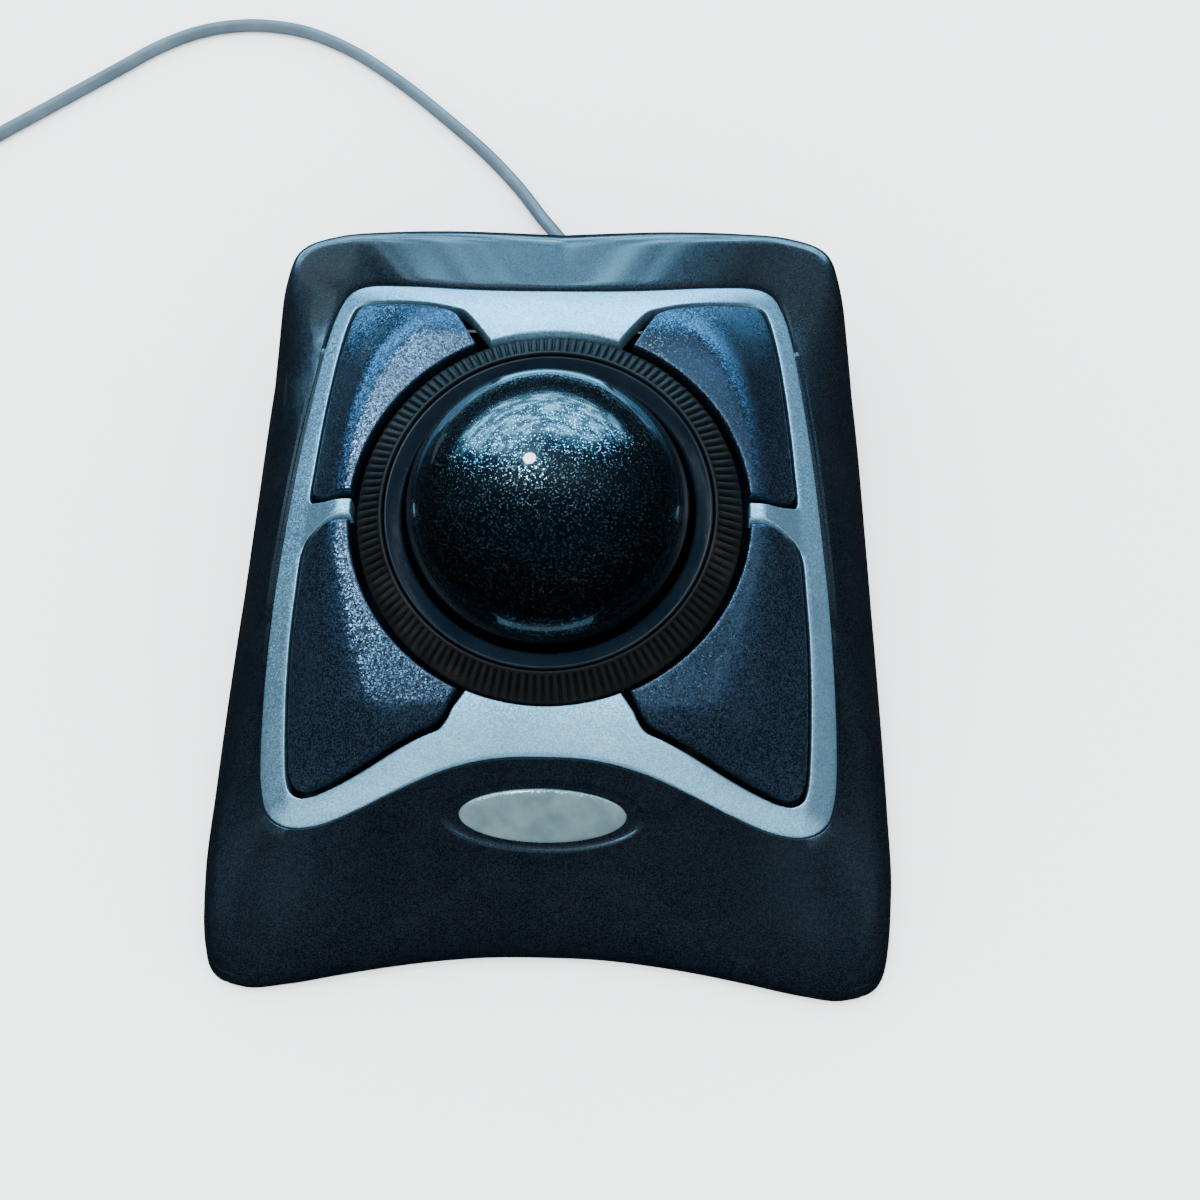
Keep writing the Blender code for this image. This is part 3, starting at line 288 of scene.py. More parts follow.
def share_between(position, start, full):
    """Return a smooth 0 to 1 share as a position goes from start to full."""
    t = max(0.0, min(1.0, (position - start) / (full - start)))
    return t * t * (3.0 - 2.0 * t)


def crown(x, y):
    """Return the height of the bezel and button surface at places in plan."""
    x = np.asarray(x, float)
    y = np.asarray(y, float)
    top = CROWN_HEIGHT + CROWN_SLOPE * (y - BALL_CENTRE.y)
    top = top - REAR_DROOP[1] * np.maximum(0.0, y - REAR_DROOP[0]) ** 2
    top = top - FRONT_DROOP[1] * np.maximum(0.0, FRONT_DROOP[0] - y) ** 2
    rail_x, rail_z, inner_slope, width = (read_table(RAIL_STATIONS, column, y) for column in (1, 2, 3, 4))
    inward = rail_x - np.abs(x)
    side = rail_z + np.where(inward > 0.0, inner_slope, RAIL_SLOPE) * inward
    overlap = np.maximum(width - np.abs(top - side), 0.0) / width
    return np.minimum(top, side) - overlap ** 2 * width / 4.0


def opening_point(angle, grow=0.0):
    """Return a point of the ring opening in plan."""
    across, along = OPENING_AXES
    return ((across + grow) * math.cos(angle), OPENING_CENTRE_Y + (along + grow) * math.sin(angle))


def opening_arc(start, stop, spacing, grow=0.0):
    """Return points along the ring opening between two points' angles."""
    angles = []
    for x, y in (start, stop):
        angles.append(math.atan2((y - OPENING_CENTRE_Y) / OPENING_AXES[1], x / OPENING_AXES[0]))
    first, last = angles
    parts = max(3, int(abs(last - first) * OPENING_AXES[0] / spacing))
    return [opening_point(first + (last - first) * k / parts, grow) for k in range(parts + 1)]


def mirror_loop(half):
    """Close a right half outline with its mirror image on the left."""
    half = [tuple(p) for p in half]
    return half + [(-x, y) for x, y in reversed(half[1:-1])]


def straight(a, b, step):
    """Return points along a straight run, both ends among them."""
    parts = max(1, int(round(math.dist(a, b) / step)))
    return [(a[0] + (b[0] - a[0]) * k / parts, a[1] + (b[1] - a[1]) * k / parts) for k in range(parts + 1)]


def join_runs(runs, step):
    """Join runs of points end to end, with a straight stretch from each to the next."""
    joined = list(runs[0])
    for run in runs[1:]:
        joined += straight(joined[-1], run[0], step)[1:-1] + list(run)
    return joined


# ---------------------------------------------------------------- mesh helpers

def link_mesh(name, points, faces, look, angle=None):
    """Make a mesh object from millimetre points."""
    mesh = bpy.data.meshes.new(name)
    mesh.from_pydata([tuple(v) for v in (np.asarray(points, float) * MM)], [], faces)
    build = bmesh.new()
    build.from_mesh(mesh)
    bmesh.ops.recalc_face_normals(build, faces=build.faces)
    build.to_mesh(mesh)
    build.free()
    mesh.materials.append(look)
    made = bpy.data.objects.new(name, mesh)
    bpy.context.collection.objects.link(made)
    mesh.shade_smooth()
    if angle is not None:
        mesh.set_sharp_from_angle(angle=math.radians(angle))
    return made


def inside(points, loop):
    """Tell which points in plan lie inside a closed loop."""
    p = np.asarray(points, float)
    a = np.asarray(loop, float)
    b = np.roll(a, 1, axis=0)
    odd = np.zeros(len(p), bool)
    for (x1, y1), (x2, y2) in zip(a, b):
        if y1 == y2:
            continue
        crosses = (y1 > p[:, 1]) != (y2 > p[:, 1])
        odd ^= crosses & (p[:, 0] < (x2 - x1) * (p[:, 1] - y1) / (y2 - y1) + x1)
    return odd


def within(points, loops):
    """Tell which points in plan lie inside the first loop and outside the others."""
    keep = inside(points, loops[0])
    for hole in loops[1:]:
        keep &= ~inside(points, hole)
    return keep


def edge_distance(points, loop):
    """Return the distance in plan from points to a closed loop."""
    p = np.asarray(points, float)
    a = np.asarray(loop, float)
    b = np.roll(a, -1, axis=0)
    best = np.full(len(p), 1e9)
    for i in range(len(a)):
        run = b[i] - a[i]
        size = max(float(run @ run), 1e-12)
        t = np.clip(((p - a[i]) @ run) / size, 0.0, 1.0)
        off = p - a[i] - t[:, None] * run
        best = np.minimum(best, np.sqrt((off ** 2).sum(1)))
    return best


def signed_area(loop):
    """Return the signed area of a loop in plan."""
    a = np.asarray(loop, float)
    b = np.roll(a, -1, axis=0)
    return 0.5 * float((a[:, 0] * b[:, 1] - b[:, 0] * a[:, 1]).sum())


def offset(loop, amount):
    """Move a loop to its left by an amount, mitred at its corners."""
    a = np.asarray(loop, float)
    before = a - np.roll(a, 1, axis=0)
    after = np.roll(a, -1, axis=0) - a
    before /= np.maximum(np.linalg.norm(before, axis=1)[:, None], 1e-9)
    after /= np.maximum(np.linalg.norm(after, axis=1)[:, None], 1e-9)
    normal = np.stack([-(before[:, 1] + after[:, 1]), before[:, 0] + after[:, 0]], 1)
    normal /= np.maximum(np.linalg.norm(normal, axis=1)[:, None], 1e-9)
    square = np.stack([-after[:, 1], after[:, 0]], 1)
    scale = 1.0 / np.maximum((normal * square).sum(1), 0.55)
    return a + normal * (amount * scale)[:, None]


EDGE_STEPS = ((0.0, 1.0), (0.12, 0.53), (0.35, 0.24), (0.65, 0.063), (1.0, 0.0))


def plate(name, outline, holes, top, thickness, spacing, look, edge):
    """Make a plate under a height function, with rounded upper edges."""
    outline = [tuple(p) for p in outline]
    if signed_area(outline) < 0.0:
        outline.reverse()
    loops = [outline]
    for hole in holes:
        hole = [tuple(p) for p in hole]
        if signed_area(hole) > 0.0:
            hole.reverse()
        loops.append(hole)
    points = []
    drops = []
    edges = []
    innermost = []
    for loop in loops:
        for share, drop in EDGE_STEPS:
            ring = offset(loop, edge * share)
            first = len(points)
            points += [tuple(p) for p in ring]
            drops += [edge * drop] * len(ring)
            edges += [(first + i, first + (i + 1) % len(ring)) for i in range(len(ring))]
        innermost.append(ring)
    xs = [p[0] for p in outline]
    ys = [p[1] for p in outline]
    gx, gy = np.meshgrid(np.arange(min(xs), max(xs), spacing), np.arange(min(ys), max(ys), spacing))
    grid = np.stack([gx.ravel(), gy.ravel()], 1)
    grid[:, 0] += (np.round((grid[:, 1] - min(ys)) / spacing) % 2) * spacing * 0.5
    grid = grid[within(grid, loops) & within(grid, innermost)]
    for ring in innermost:
        grid = grid[edge_distance(grid, ring) > 0.55 * spacing]
    points += [tuple(p) for p in grid]
    drops += [0.0] * len(grid)
    flat = delaunay_2d_cdt([Vector(p) for p in points], edges, [], 0, 1e-6)
    places = np.array([tuple(v) for v in flat[0]])
    lift = np.zeros(len(places))
    for i, sources in enumerate(flat[3]):
        lift[i] = max((drops[s] for s in sources), default=0.0)
    cells = [tuple(cell) for cell in flat[2]]
    middles = np.array([places[list(cell)].mean(0) for cell in cells])
    cells = [cell for cell, good in zip(cells, within(middles, loops)) if good]
    height = top(places[:, 0], places[:, 1])
    solid = [(x, y, z - d) for (x, y), z, d in zip(places, height, lift)]
    used = set()
    for cell in cells:
        for a, b in zip(cell, cell[1:] + cell[:1]):
            used.add((a, b))
    rim = [pair for pair in used if (pair[1], pair[0]) not in used]
    under = {}
    for pair in rim:
        for i in pair:
            if i not in under:
                under[i] = len(solid)
                x, y = places[i]
                solid.append((x, y, height[i] - thickness))
    faces = cells + [(b, a, under[a], under[b]) for a, b in rim]
    return link_mesh(name, solid, faces, look, 50.0)


def strip_faces(rows, columns, closed=False):
    """Return the faces between the rows of a grid of points whose rows each close on themselves."""
    faces = []
    for i in range(rows if closed else rows - 1):
        a = i * columns
        b = (i + 1) % rows * columns
        for k in range(columns):
            n = (k + 1) % columns
            faces.append((a + k, a + n, b + n, b + k))
    return faces


def cap_faces(rows, columns):
    """Return the two faces that close the first and the last row of a grid of points."""
    return [tuple(range(columns)), tuple(range((rows - 1) * columns, rows * columns))]


def turned(name, profile, segments, look, centre, turn, angle=40.0):
    """Turn a closed (radius, height) profile about an axis; radius 0 lies on the axis."""
    angles = np.arange(segments) * 2.0 * math.pi / segments
    points = []
    rows = []
    for radius, height in profile:
        if radius < 1e-6:
            rows.append([len(points)] * segments)
            points.append((0.0, 0.0, height))
            continue
        rows.append(list(range(len(points), len(points) + segments)))
        points += [(radius * math.cos(a), radius * math.sin(a), height) for a in angles]
    faces = []
    for i, row in enumerate(rows):
        after = rows[(i + 1) % len(rows)]
        for k in range(segments):
            n = (k + 1) % segments
            corner = tuple(dict.fromkeys((row[k], row[n], after[n], after[k])))
            if len(corner) > 2:
                faces.append(corner)
    points = np.array(points) @ np.array(turn).T + np.array(centre)
    return link_mesh(name, points, faces, look, angle)


def aim(direction):
    """Return the rotation that carries +Z onto a direction."""
    return Vector(direction).to_track_quat("Z", "Y").to_matrix()


# ---------------------------------------------------------------- materials

class Tree:
    """A short way to write a node tree."""

    def __init__(self, tree, coordinates):
        self.tree = tree
        self.place = self.add("ShaderNodeTexCoord").outputs[coordinates]

    def add(self, kind, **facts):
        made = self.tree.nodes.new(kind)
        for name, value in facts.items():
            if name in made.inputs:
                made.inputs[name].default_value = value
            else:
                setattr(made, name, value)
        return made

    def link(self, source, target):
        self.tree.links.new(source, target)

    def feed(self, target, value):
        """Give a socket a number or a colour, or link it to another socket."""
        if isinstance(value, (int, float)):
            target.default_value = value
        elif isinstance(value, tuple):
            target.default_value = (*value, 1.0)
        else:
            self.link(value, target)

    def noise(self, scale, detail=3.0, rough=0.5, stretch=None):
        made = self.add("ShaderNodeTexNoise", Scale=scale, Detail=detail, Roughness=rough)
        source = self.place
        if stretch:
            mapped = self.add("ShaderNodeMapping", Scale=stretch)
            self.link(source, mapped.inputs["Vector"])
            source = mapped.outputs["Vector"]
        self.link(source, made.inputs["Vector"])
        return made.outputs["Fac"]

    def cells(self, scale):
        made = self.add("ShaderNodeTexVoronoi", Scale=scale)
        self.link(self.place, made.inputs["Vector"])
        return made

    def ramp(self, source, *stops):
        made = self.add("ShaderNodeValToRGB")
        line = made.color_ramp
        while len(line.elements) < len(stops):
            line.elements.new(0.5)
        for element, (position, colour) in zip(line.elements, stops):
            element.position = position
            element.color = (*colour, 1.0)
        self.link(source, made.inputs["Fac"])
        return made.outputs["Color"]

    def span(self, source, low, high, to_low=0.0, to_high=1.0, smooth=False):
        """Carry a value from one range to another, in a straight line or a smooth step."""
        made = self.add("ShaderNodeMapRange", interpolation_type="SMOOTHSTEP" if smooth else "LINEAR")
        for name, value in (("From Min", low), ("From Max", high), ("To Min", to_low), ("To Max", to_high)):
            made.inputs[name].default_value = value
        self.link(source, made.inputs["Value"])
        return made.outputs["Result"]

    def maths(self, operation, *values):
        made = self.add("ShaderNodeMath", operation=operation)
        for socket, value in zip(made.inputs, values):
            self.feed(socket, value)
        return made.outputs[0]

    def mix(self, share, first, second, blend="MIX", clamp=True):
        """Mix two colours, each a tuple or a socket."""
        made = self.add("ShaderNodeMix", data_type="RGBA", blend_type=blend, clamp_factor=clamp)
        for place, value in ((0, share), (6, first), (7, second)):
            self.feed(made.inputs[place], value)
        return made.outputs[2]


class Look(Tree):
    """A Principled material and its node tree."""

    def __init__(self, name, colour, roughness, metallic=0.0):
        self.material = bpy.data.materials.new(name)
        self.material.use_nodes = True
        self.material.diffuse_color = (*colour, 1.0)
        super().__init__(self.material.node_tree, "Object")
        self.shader = self.tree.nodes["Principled BSDF"]
        self.set("Base Color", (*colour, 1.0))
        self.set("Roughness", roughness)
        self.set("Metallic", metallic)

    def set(self, socket, value):
        self.shader.inputs[socket].default_value = value

    def drive(self, socket, source):
        self.link(source, self.shader.inputs[socket])

    def bump(self, source, strength, distance):
        made = self.add("ShaderNodeBump", Strength=strength, Distance=distance)
        self.link(source, made.inputs["Height"])
        return made.outputs["Normal"]

    def flakes(self, scale, amount):
        """Tilt the normal at random in each tiny cell, and return the cell's random tones."""
        cell = self.cells(scale)
        away = self.add("ShaderNodeVectorMath", operation="SUBTRACT")
        self.link(cell.outputs["Color"], away.inputs[0])
        away.inputs[1].default_value = (0.5, 0.5, 0.5)
        sized = self.add("ShaderNodeVectorMath", operation="SCALE")
        self.link(away.outputs["Vector"], sized.inputs[0])
        sized.inputs["Scale"].default_value = amount
        joined = self.add("ShaderNodeVectorMath", operation="ADD")
        self.link(self.add("ShaderNodeNewGeometry").outputs["Normal"], joined.inputs[0])
        self.link(sized.outputs["Vector"], joined.inputs[1])
        unit = self.add("ShaderNodeVectorMath", operation="NORMALIZE")
        self.link(joined.outputs["Vector"], unit.inputs[0])
        self.drive("Normal", unit.outputs["Vector"])
        tone = self.add("ShaderNodeSeparateColor")
        self.link(cell.outputs["Color"], tone.inputs["Color"])
        return tone.outputs


def flake_paint(name, dark, light, roughness, metallic, flake_scale, tilt, coat, coat_rough, painted_side_shade=0.0):
    """Metallic paint: flakes of slightly different tone and lie under a thin clear coat.

    Painted shade darkens it towards near-black where it faces sideways, standing in for the weaker light from
    the sides.
    """
    n = Look(name, dark, roughness, metallic)
    tone = n.flakes(flake_scale, tilt)
    mixed = n.mix(n.span(tone["Red"], 0.25, 1.0), dark, light)
    shade = n.ramp(n.noise(38.0, 3.0), (0.3, (0.86, 0.86, 0.88)), (0.7, (1.08, 1.08, 1.06)))
    paint = n.mix(1.0, mixed, shade, "MULTIPLY")
    # painted shade: faces whose normals point sideways are darkened towards near-black, standing in for the
    # weaker light from the sides
    if painted_side_shade > 0.0:
        lie = n.add("ShaderNodeSeparateXYZ")
        n.link(n.add("ShaderNodeNewGeometry").outputs["Normal"], lie.inputs[0])
        share = n.span(n.maths("ABSOLUTE", lie.outputs["X"]), 0.12, 0.40, 0.0, painted_side_shade)
        paint = n.mix(share, paint, (0.010, 0.014, 0.018))
    n.drive("Base Color", paint)
    n.drive("Roughness", n.span(n.noise(95.0, 5.0, 0.6), 0.35, 0.75, roughness - 0.05, roughness + 0.09))
    n.set("Coat Weight", coat)
    n.set("Coat Roughness", coat_rough)
    return n.material


def moulded(name, colour, roughness, grain, depth, strength, coat=0.0, specular=0.5):
    """Moulded plastic or rubber with a fine grain, soft dirt and uneven gloss."""
    n = Look(name, colour, roughness)
    lighter = tuple(min(1.0, c * 1.5 + 0.006) for c in colour)
    darker = tuple(c * 0.72 for c in colour)
    n.drive("Base Color", n.ramp(n.noise(70.0, 6.0, 0.65), (0.3, darker), (0.55, colour), (0.8, lighter)))
    n.drive("Roughness", n.span(n.noise(160.0, 4.0), 0.3, 0.7, roughness - 0.08, roughness + 0.08))
    n.drive("Normal", n.bump(n.noise(grain, 2.0), strength, depth))
    n.set("Coat Weight", coat)
    n.set("Specular IOR Level", specular)
    return n.material


def metal(name, colour, roughness, stretch=(1.0, 1.0, 1.0)):
    """Bare metal with faint brushing and uneven gloss."""
    n = Look(name, colour, roughness, 1.0)
    lines = n.noise(900.0, 4.0, 0.6, stretch)
    n.drive("Base Color", n.ramp(lines, (0.3, tuple(c * 0.8 for c in colour)), (0.7, colour)))
    n.drive("Roughness", n.span(lines, 0.3, 0.7, roughness * 0.7, roughness * 1.5))
    n.drive("Normal", n.bump(lines, 0.2, 0.00002))
    return n.material


def ball_look():
    """Near-black resin full of fine silver and blue flakes under a clear coat."""
    n = Look("speckled_resin", (0.010, 0.014, 0.020), 0.28, 1.0)
    tone = n.flakes(5600.0, 0.22)
    colour = n.ramp(tone["Green"], (0.0, (0.0012, 0.0024, 0.0036)), (0.5, (0.004, 0.010, 0.015)),
                    (0.88, (0.010, 0.024, 0.036)), (0.985, (0.36, 0.54, 0.66)))
    warm = n.ramp(tone["Blue"], (0.0, (0.85, 1.0, 1.15)), (0.8, (1.0, 1.0, 1.0)),
                  (0.97, (1.5, 1.1, 0.7)))
    n.drive("Base Color", n.mix(1.0, colour, warm, "MULTIPLY"))
    n.drive("Roughness", n.span(n.noise(120.0, 4.0), 0.3, 0.7, 0.17, 0.24))
    n.set("Coat Weight", 1.0)
    n.set("Coat Roughness", 0.05)
    n.set("Coat IOR", 1.52)
    return n.material


def gloss_black():
    """Polished navy-black plastic with settled dust and faint wipe marks."""
    n = Look("gloss_navy", (0.002, 0.005, 0.009), 0.22)
    speck = n.ramp(n.cells(650.0).outputs["Distance"], (0.0, (1.0, 1.0, 1.0)),
                   (0.055, (1.0, 1.0, 1.0)), (0.09, (0.0, 0.0, 0.0)))
    few = n.ramp(n.noise(140.0, 2.0), (0.60, (0.0, 0.0, 0.0)), (0.70, (1.0, 1.0, 1.0)))
    dust = n.mix(1.0, speck, few, "MULTIPLY")
    haze = n.ramp(n.noise(60.0, 5.0, 0.65), (0.35, (0.0015, 0.004, 0.008)), (0.8, (0.004, 0.009, 0.015)))
    n.drive("Base Color", n.mix(dust, haze, (0.06, 0.07, 0.075)))
    n.drive("Roughness", n.span(n.noise(200.0, 5.0, 0.6), 0.3, 0.75, 0.16, 0.34))
    n.set("Specular IOR Level", 0.1)
    return n.material


def badge_look():
    """Silver-green metallic sheet under a domed clear resin."""
    n = Look("badge_resin", (0.14, 0.22, 0.23), 0.30, 0.6)
    n.flakes(3600.0, 0.22)
    n.drive("Base Color", n.ramp(n.noise(300.0, 4.0), (0.3, (0.10, 0.17, 0.19)), (0.7, (0.17, 0.26, 0.27))))
    n.drive("Roughness", n.span(n.noise(90.0, 3.0), 0.3, 0.7, 0.24, 0.34))
    n.set("Coat Weight", 1.0)
    n.set("Coat Roughness", 0.04)
    return n.material


def floor_look():
    """Plain pale studio floor."""
    n = Look("studio_floor", (0.93, 0.93, 0.93), 0.9)
    n.drive("Base Color", n.ramp(n.noise(3.0, 2.0), (0.3, (0.92, 0.92, 0.92)), (0.7, (0.94, 0.94, 0.94))))
    return n.material


LOOKS = {
    "housing": flake_paint("housing_paint", (0.0004, 0.0012, 0.0026), (0.0060, 0.0170, 0.0310), 0.34, 0.75,
                           4600.0, 0.26, 1.0, 0.11),
    # the bezel's last number is the painted shade that darkens its sideways-facing rails
    "bezel": flake_paint("bezel_paint", (0.20, 0.46, 0.68), (0.36, 0.74, 0.98), 0.48, 0.66,
                         4200.0, 0.55, 0.12, 0.3, 0.75),
    "button": flake_paint("button_paint", (0.009, 0.018, 0.030), (0.042, 0.086, 0.150), 0.25, 0.88,
                          3800.0, 0.20, 0.10, 0.28),
    "ring": moulded("ring_rubber", (0.0024, 0.0029, 0.0034), 0.50, 3200.0, 0.00002, 0.35, 0.0, 0.22),
    "gloss": gloss_black(),
    "ball": ball_look(),
    "base": moulded("base_plastic", (0.016, 0.017, 0.019), 0.55, 1500.0, 0.00006, 0.6),
    "foot": moulded("foot_rubber", (0.012, 0.012, 0.013), 0.8, 1800.0, 0.00003, 0.5),
    "cord": moulded("cord_jacket", (0.050, 0.082, 0.110), 0.42, 2200.0, 0.00002, 0.3),
    "chip": moulded("moulded_chip", (0.015, 0.015, 0.016), 0.5, 2600.0, 0.00002, 0.4),
    "nylon": moulded("natural_nylon", (0.62, 0.61, 0.56), 0.45, 1200.0, 0.00002, 0.2),
    "board": moulded("board_mask", (0.010, 0.085, 0.032), 0.38, 700.0, 0.00003, 0.3, 0.4),
    "lamp": moulded("lamp_red", (0.42, 0.02, 0.015), 0.2, 500.0, 0.00001, 0.1, 0.6),
    "lens": moulded("lens_clear", (0.55, 0.62, 0.66), 0.08, 500.0, 0.00001, 0.05, 1.0),
    "pin": metal("pin_polished", (0.72, 0.72, 0.70), 0.16),
    "steel": metal("bright_steel", (0.55, 0.56, 0.57), 0.28, (1.0, 0.05, 1.0)),
    "badge": badge_look(),
}


# ---------------------------------------------------------------- cord

def coil_points():
    """Wind the unseen cord clockwise, in along the table and out again on top."""
    cx, cy = COIL_CENTRE
    entry = (COIL_ENTRY[0] - cx, COIL_ENTRY[1] - cy)
    start = math.atan2(entry[1], entry[0]) - math.acos(COIL_OUTER_TURN / math.hypot(*entry))
    circle = 2 * math.pi
    steps_in = COIL_TURNS - 1
    inner = COIL_OUTER_TURN - COIL_PITCH * steps_in
    points = []
    for k in range(COIL_TURNS * COIL_SIDES):
        turns = k / COIL_SIDES
        radius = COIL_OUTER_TURN - COIL_PITCH * max(0.0, min(steps_in, turns - 0.08))
        rise = share_between(turns, COIL_TURNS - 0.45, COIL_TURNS)
        points.append((start - circle * turns, radius, COIL_LOW_Z + COIL_PITCH * rise))
    angle = start - circle * COIL_TURNS
    last = math.pi
    while last > angle - circle * (COIL_TURNS - 0.95):
        last -= circle
    parts = int((angle - last) / circle * COIL_SIDES)
    for k in range(parts + 1):
        t = k / parts
        radius = inner + (COIL_OUTER_TURN - inner) * min(1.0, t * 1.01)
        points.append((angle + (last - angle) * t, radius, COIL_LOW_Z + COIL_PITCH))
    return [(cx + r * math.cos(a), cy + r * math.sin(a), z) for a, r, z in points]


def cord_route():
    """Return the cord's whole centreline, from the relief to the plug."""
    start = [(0.0, RELIEF_END_Y - 5.0, CORD_EXIT_Z), (0.0, RELIEF_END_Y + 0.3, CORD_EXIT_Z)]
    free = catmull(start + CORD_ROUTE + [COIL_ENTRY], 3.0)
    coil = coil_points()
    a = np.array(free[-1])
    b = np.array(coil[0])
    lead = [tuple(a + (b - a) * k / 5.0) for k in range(1, 5)]
    x, y, z = coil[-1]
    tail = []
    for k in range(1, 8):
        t = k / 7.0
        ease = share_between(t, 0.0, 1.0)
        tail.append((x + (PLUG_X - x) * ease, y + (PLUG_START_Y + 4.0 - y) * t, z + (PLUG_AXIS_Z - z) * ease))
    return free + lead + coil + tail


def sweep_tube(name, route, radius, sides, look):
    """Sweep a round tube along a route."""
    p = np.array(route, float)
    tangent = np.gradient(p, axis=0)
    tangent /= np.linalg.norm(tangent, axis=1)[:, None]
    side = np.array([1.0, 0.0, 0.0])
    points = []
    for here, ahead in zip(p, tangent):
        side = side - ahead * (side @ ahead)
        side /= np.linalg.norm(side)
        upward = np.cross(ahead, side)
        for k in range(sides):
            a = 2 * math.pi * k / sides
            points.append(here + radius * (math.cos(a) * side + math.sin(a) * upward))
    faces = strip_faces(len(p), sides) + cap_faces(len(p), sides)
    return link_mesh(name, points, faces, look, 60.0)


def make_relief():
    """Make the ribbed, tapered strain relief in the rear wall."""
    length = RELIEF_END_Y - REAR_WALL_Y
    profile = [(0.0, -6.5), (4.6, -6.5), (4.6, -2.7), (3.1, -2.7), (3.1, 0.9)]
    for k in range(RELIEF_RIBS):
        at = RELIEF_PITCH * k
        wide = 2.95 - 0.75 * at / (length - 2.5)
        at += 1.3
        profile += [(wide, at), (wide, at + 0.75), (wide - 0.35, at + 0.95), (wide - 0.35, at + 1.35)]
    profile += [(2.05, length - 0.6), (1.85, length), (0.0, length)]
    centre = (0, REAR_WALL_Y, CORD_EXIT_Z)
    made = turned("cord_boot", profile, 40, LOOKS["cord"], centre, aim((0, 1, 0)), 35.0)
    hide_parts("strain_relief")
    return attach(made, "housing")


def make_plug_relief():
    """Make the plug's stepped relief."""
    profile = [(0.0, 0.0), (2.0, 0.0)]
    for k in range(3):
        wide = 2.25 + 0.35 * k
        at = 2.4 * k
        profile += [(wide, at + 0.5), (wide + 0.12, at + 1.9),
                    (wide - 0.25, at + 2.1), (wide - 0.2, at + 2.6)]
    profile += [(3.2, 7.6), (3.2, 8.0), (0.0, 8.0)]
    centre = (PLUG_X, PLUG_START_Y, PLUG_AXIS_Z)
    made = turned("plug_boot", profile, 32, LOOKS["base"], centre, aim((0, 1, 0)), 35.0)
    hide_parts("plug_relief")
    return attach(made, "housing")


def make_plug_grip():
    """Make the plug's moulded grip, grooved on both sides; its metal shell stays the CAD piece."""
    outline = []
    for a, b in zip(PLUG_OUTLINE, PLUG_OUTLINE[1:] + PLUG_OUTLINE[:1]):
        parts = 8 if math.dist(a, b) > 5.0 else 3
        outline += straight(a, b, math.dist(a, b) / parts)[:-1]
    first, last = GRIP_SPAN
    middle = (first + last) / 2.0
    points = []
    for share, z in PLUG_LAYERS:
        for x, y in outline:
            sink = 0.0
            if first < y < last and abs(z) < 3.9 and abs(x) > 7.0:
                wave = math.cos((y - first) / (last - first) * GRIP_GROOVES * 2.0 * math.pi)
                sink = GRIP_DEPTH * (0.5 - 0.5 * wave)
            along = middle + (y - middle) * (1.0 - (1.0 - share) * 0.6)
            points.append((PLUG_X + share * x - math.copysign(sink, x),
                           PLUG_START_Y + PLUG_BODY_START + along, PLUG_AXIS_Z + z))
    rows = len(PLUG_LAYERS)
    faces = cap_faces(rows, len(outline)) + strip_faces(rows, len(outline))
    made = link_mesh("plug_grip", points, faces, LOOKS["base"], 32.0)
    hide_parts("plug_body")
    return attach(made, "housing")


def make_cord():
    """Lay the cord: loose on the table, then wound in a neat coil, ending in its plug."""
    ends = [make_relief(), make_plug_relief(), make_plug_grip()]
    route = cord_route()
    piece = sweep_tube("cord_line", route, CORD_RADIUS, 14, LOOKS["cord"])
    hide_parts("cord_tube", "cord_coil")
    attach(piece, "housing")


make_cord()


# ---------------------------------------------------------------- housing

def cover_step(x, y):
    """Return how far the cover's edge lies under the bezel's edge."""
    if y > FRONT_STEP_START_Y:
        return BEZEL_PROUD
    share = math.cos(min(1.0, abs(x) / FRONT_STEP_HALF) * math.pi / 2.0) ** 2
    return BEZEL_PROUD + BEZEL_FRONT_STEP * share


def knee_point(start, knee, foot, soft, t):
    """Return a point of two straight legs with the knee between them rounded."""
    ahead = (start - knee).normalized()
    down = (foot - knee).normalized()
    reach = min(soft, 0.97 * (start - knee).length, 0.97 * (foot - knee).length)
    first = knee + ahead * reach
    last = knee + down * reach
    low, high = ROUNDING_SPAN
    if t < low:
        return start.lerp(first, t / low)
    if t > high:
        return last.lerp(foot, (t - high) / (1.0 - high))
    turn = (t - low) / (high - low)
    return first.lerp(knee, turn).lerp(knee.lerp(last, turn), turn)


def front_point(start, length, high, t):
    """Return a point of the front slope's free curve."""
    stand = min(FRONT_STAND[0], FRONT_STAND[1] * high)
    knots = (start, start + Vector((FRONT_REACH * length, -FRONT_FALL * high)),
             Vector((length, COVER_RIM_Z + stand)), Vector((length, COVER_RIM_Z)))
    s = 1.0 - t
    weights = (s ** 3, 3 * s * s * t, 3 * s * t * t, t ** 3)
    return sum((knot * weight for knot, weight in zip(knots, weights)), Vector((0.0, 0.0)))


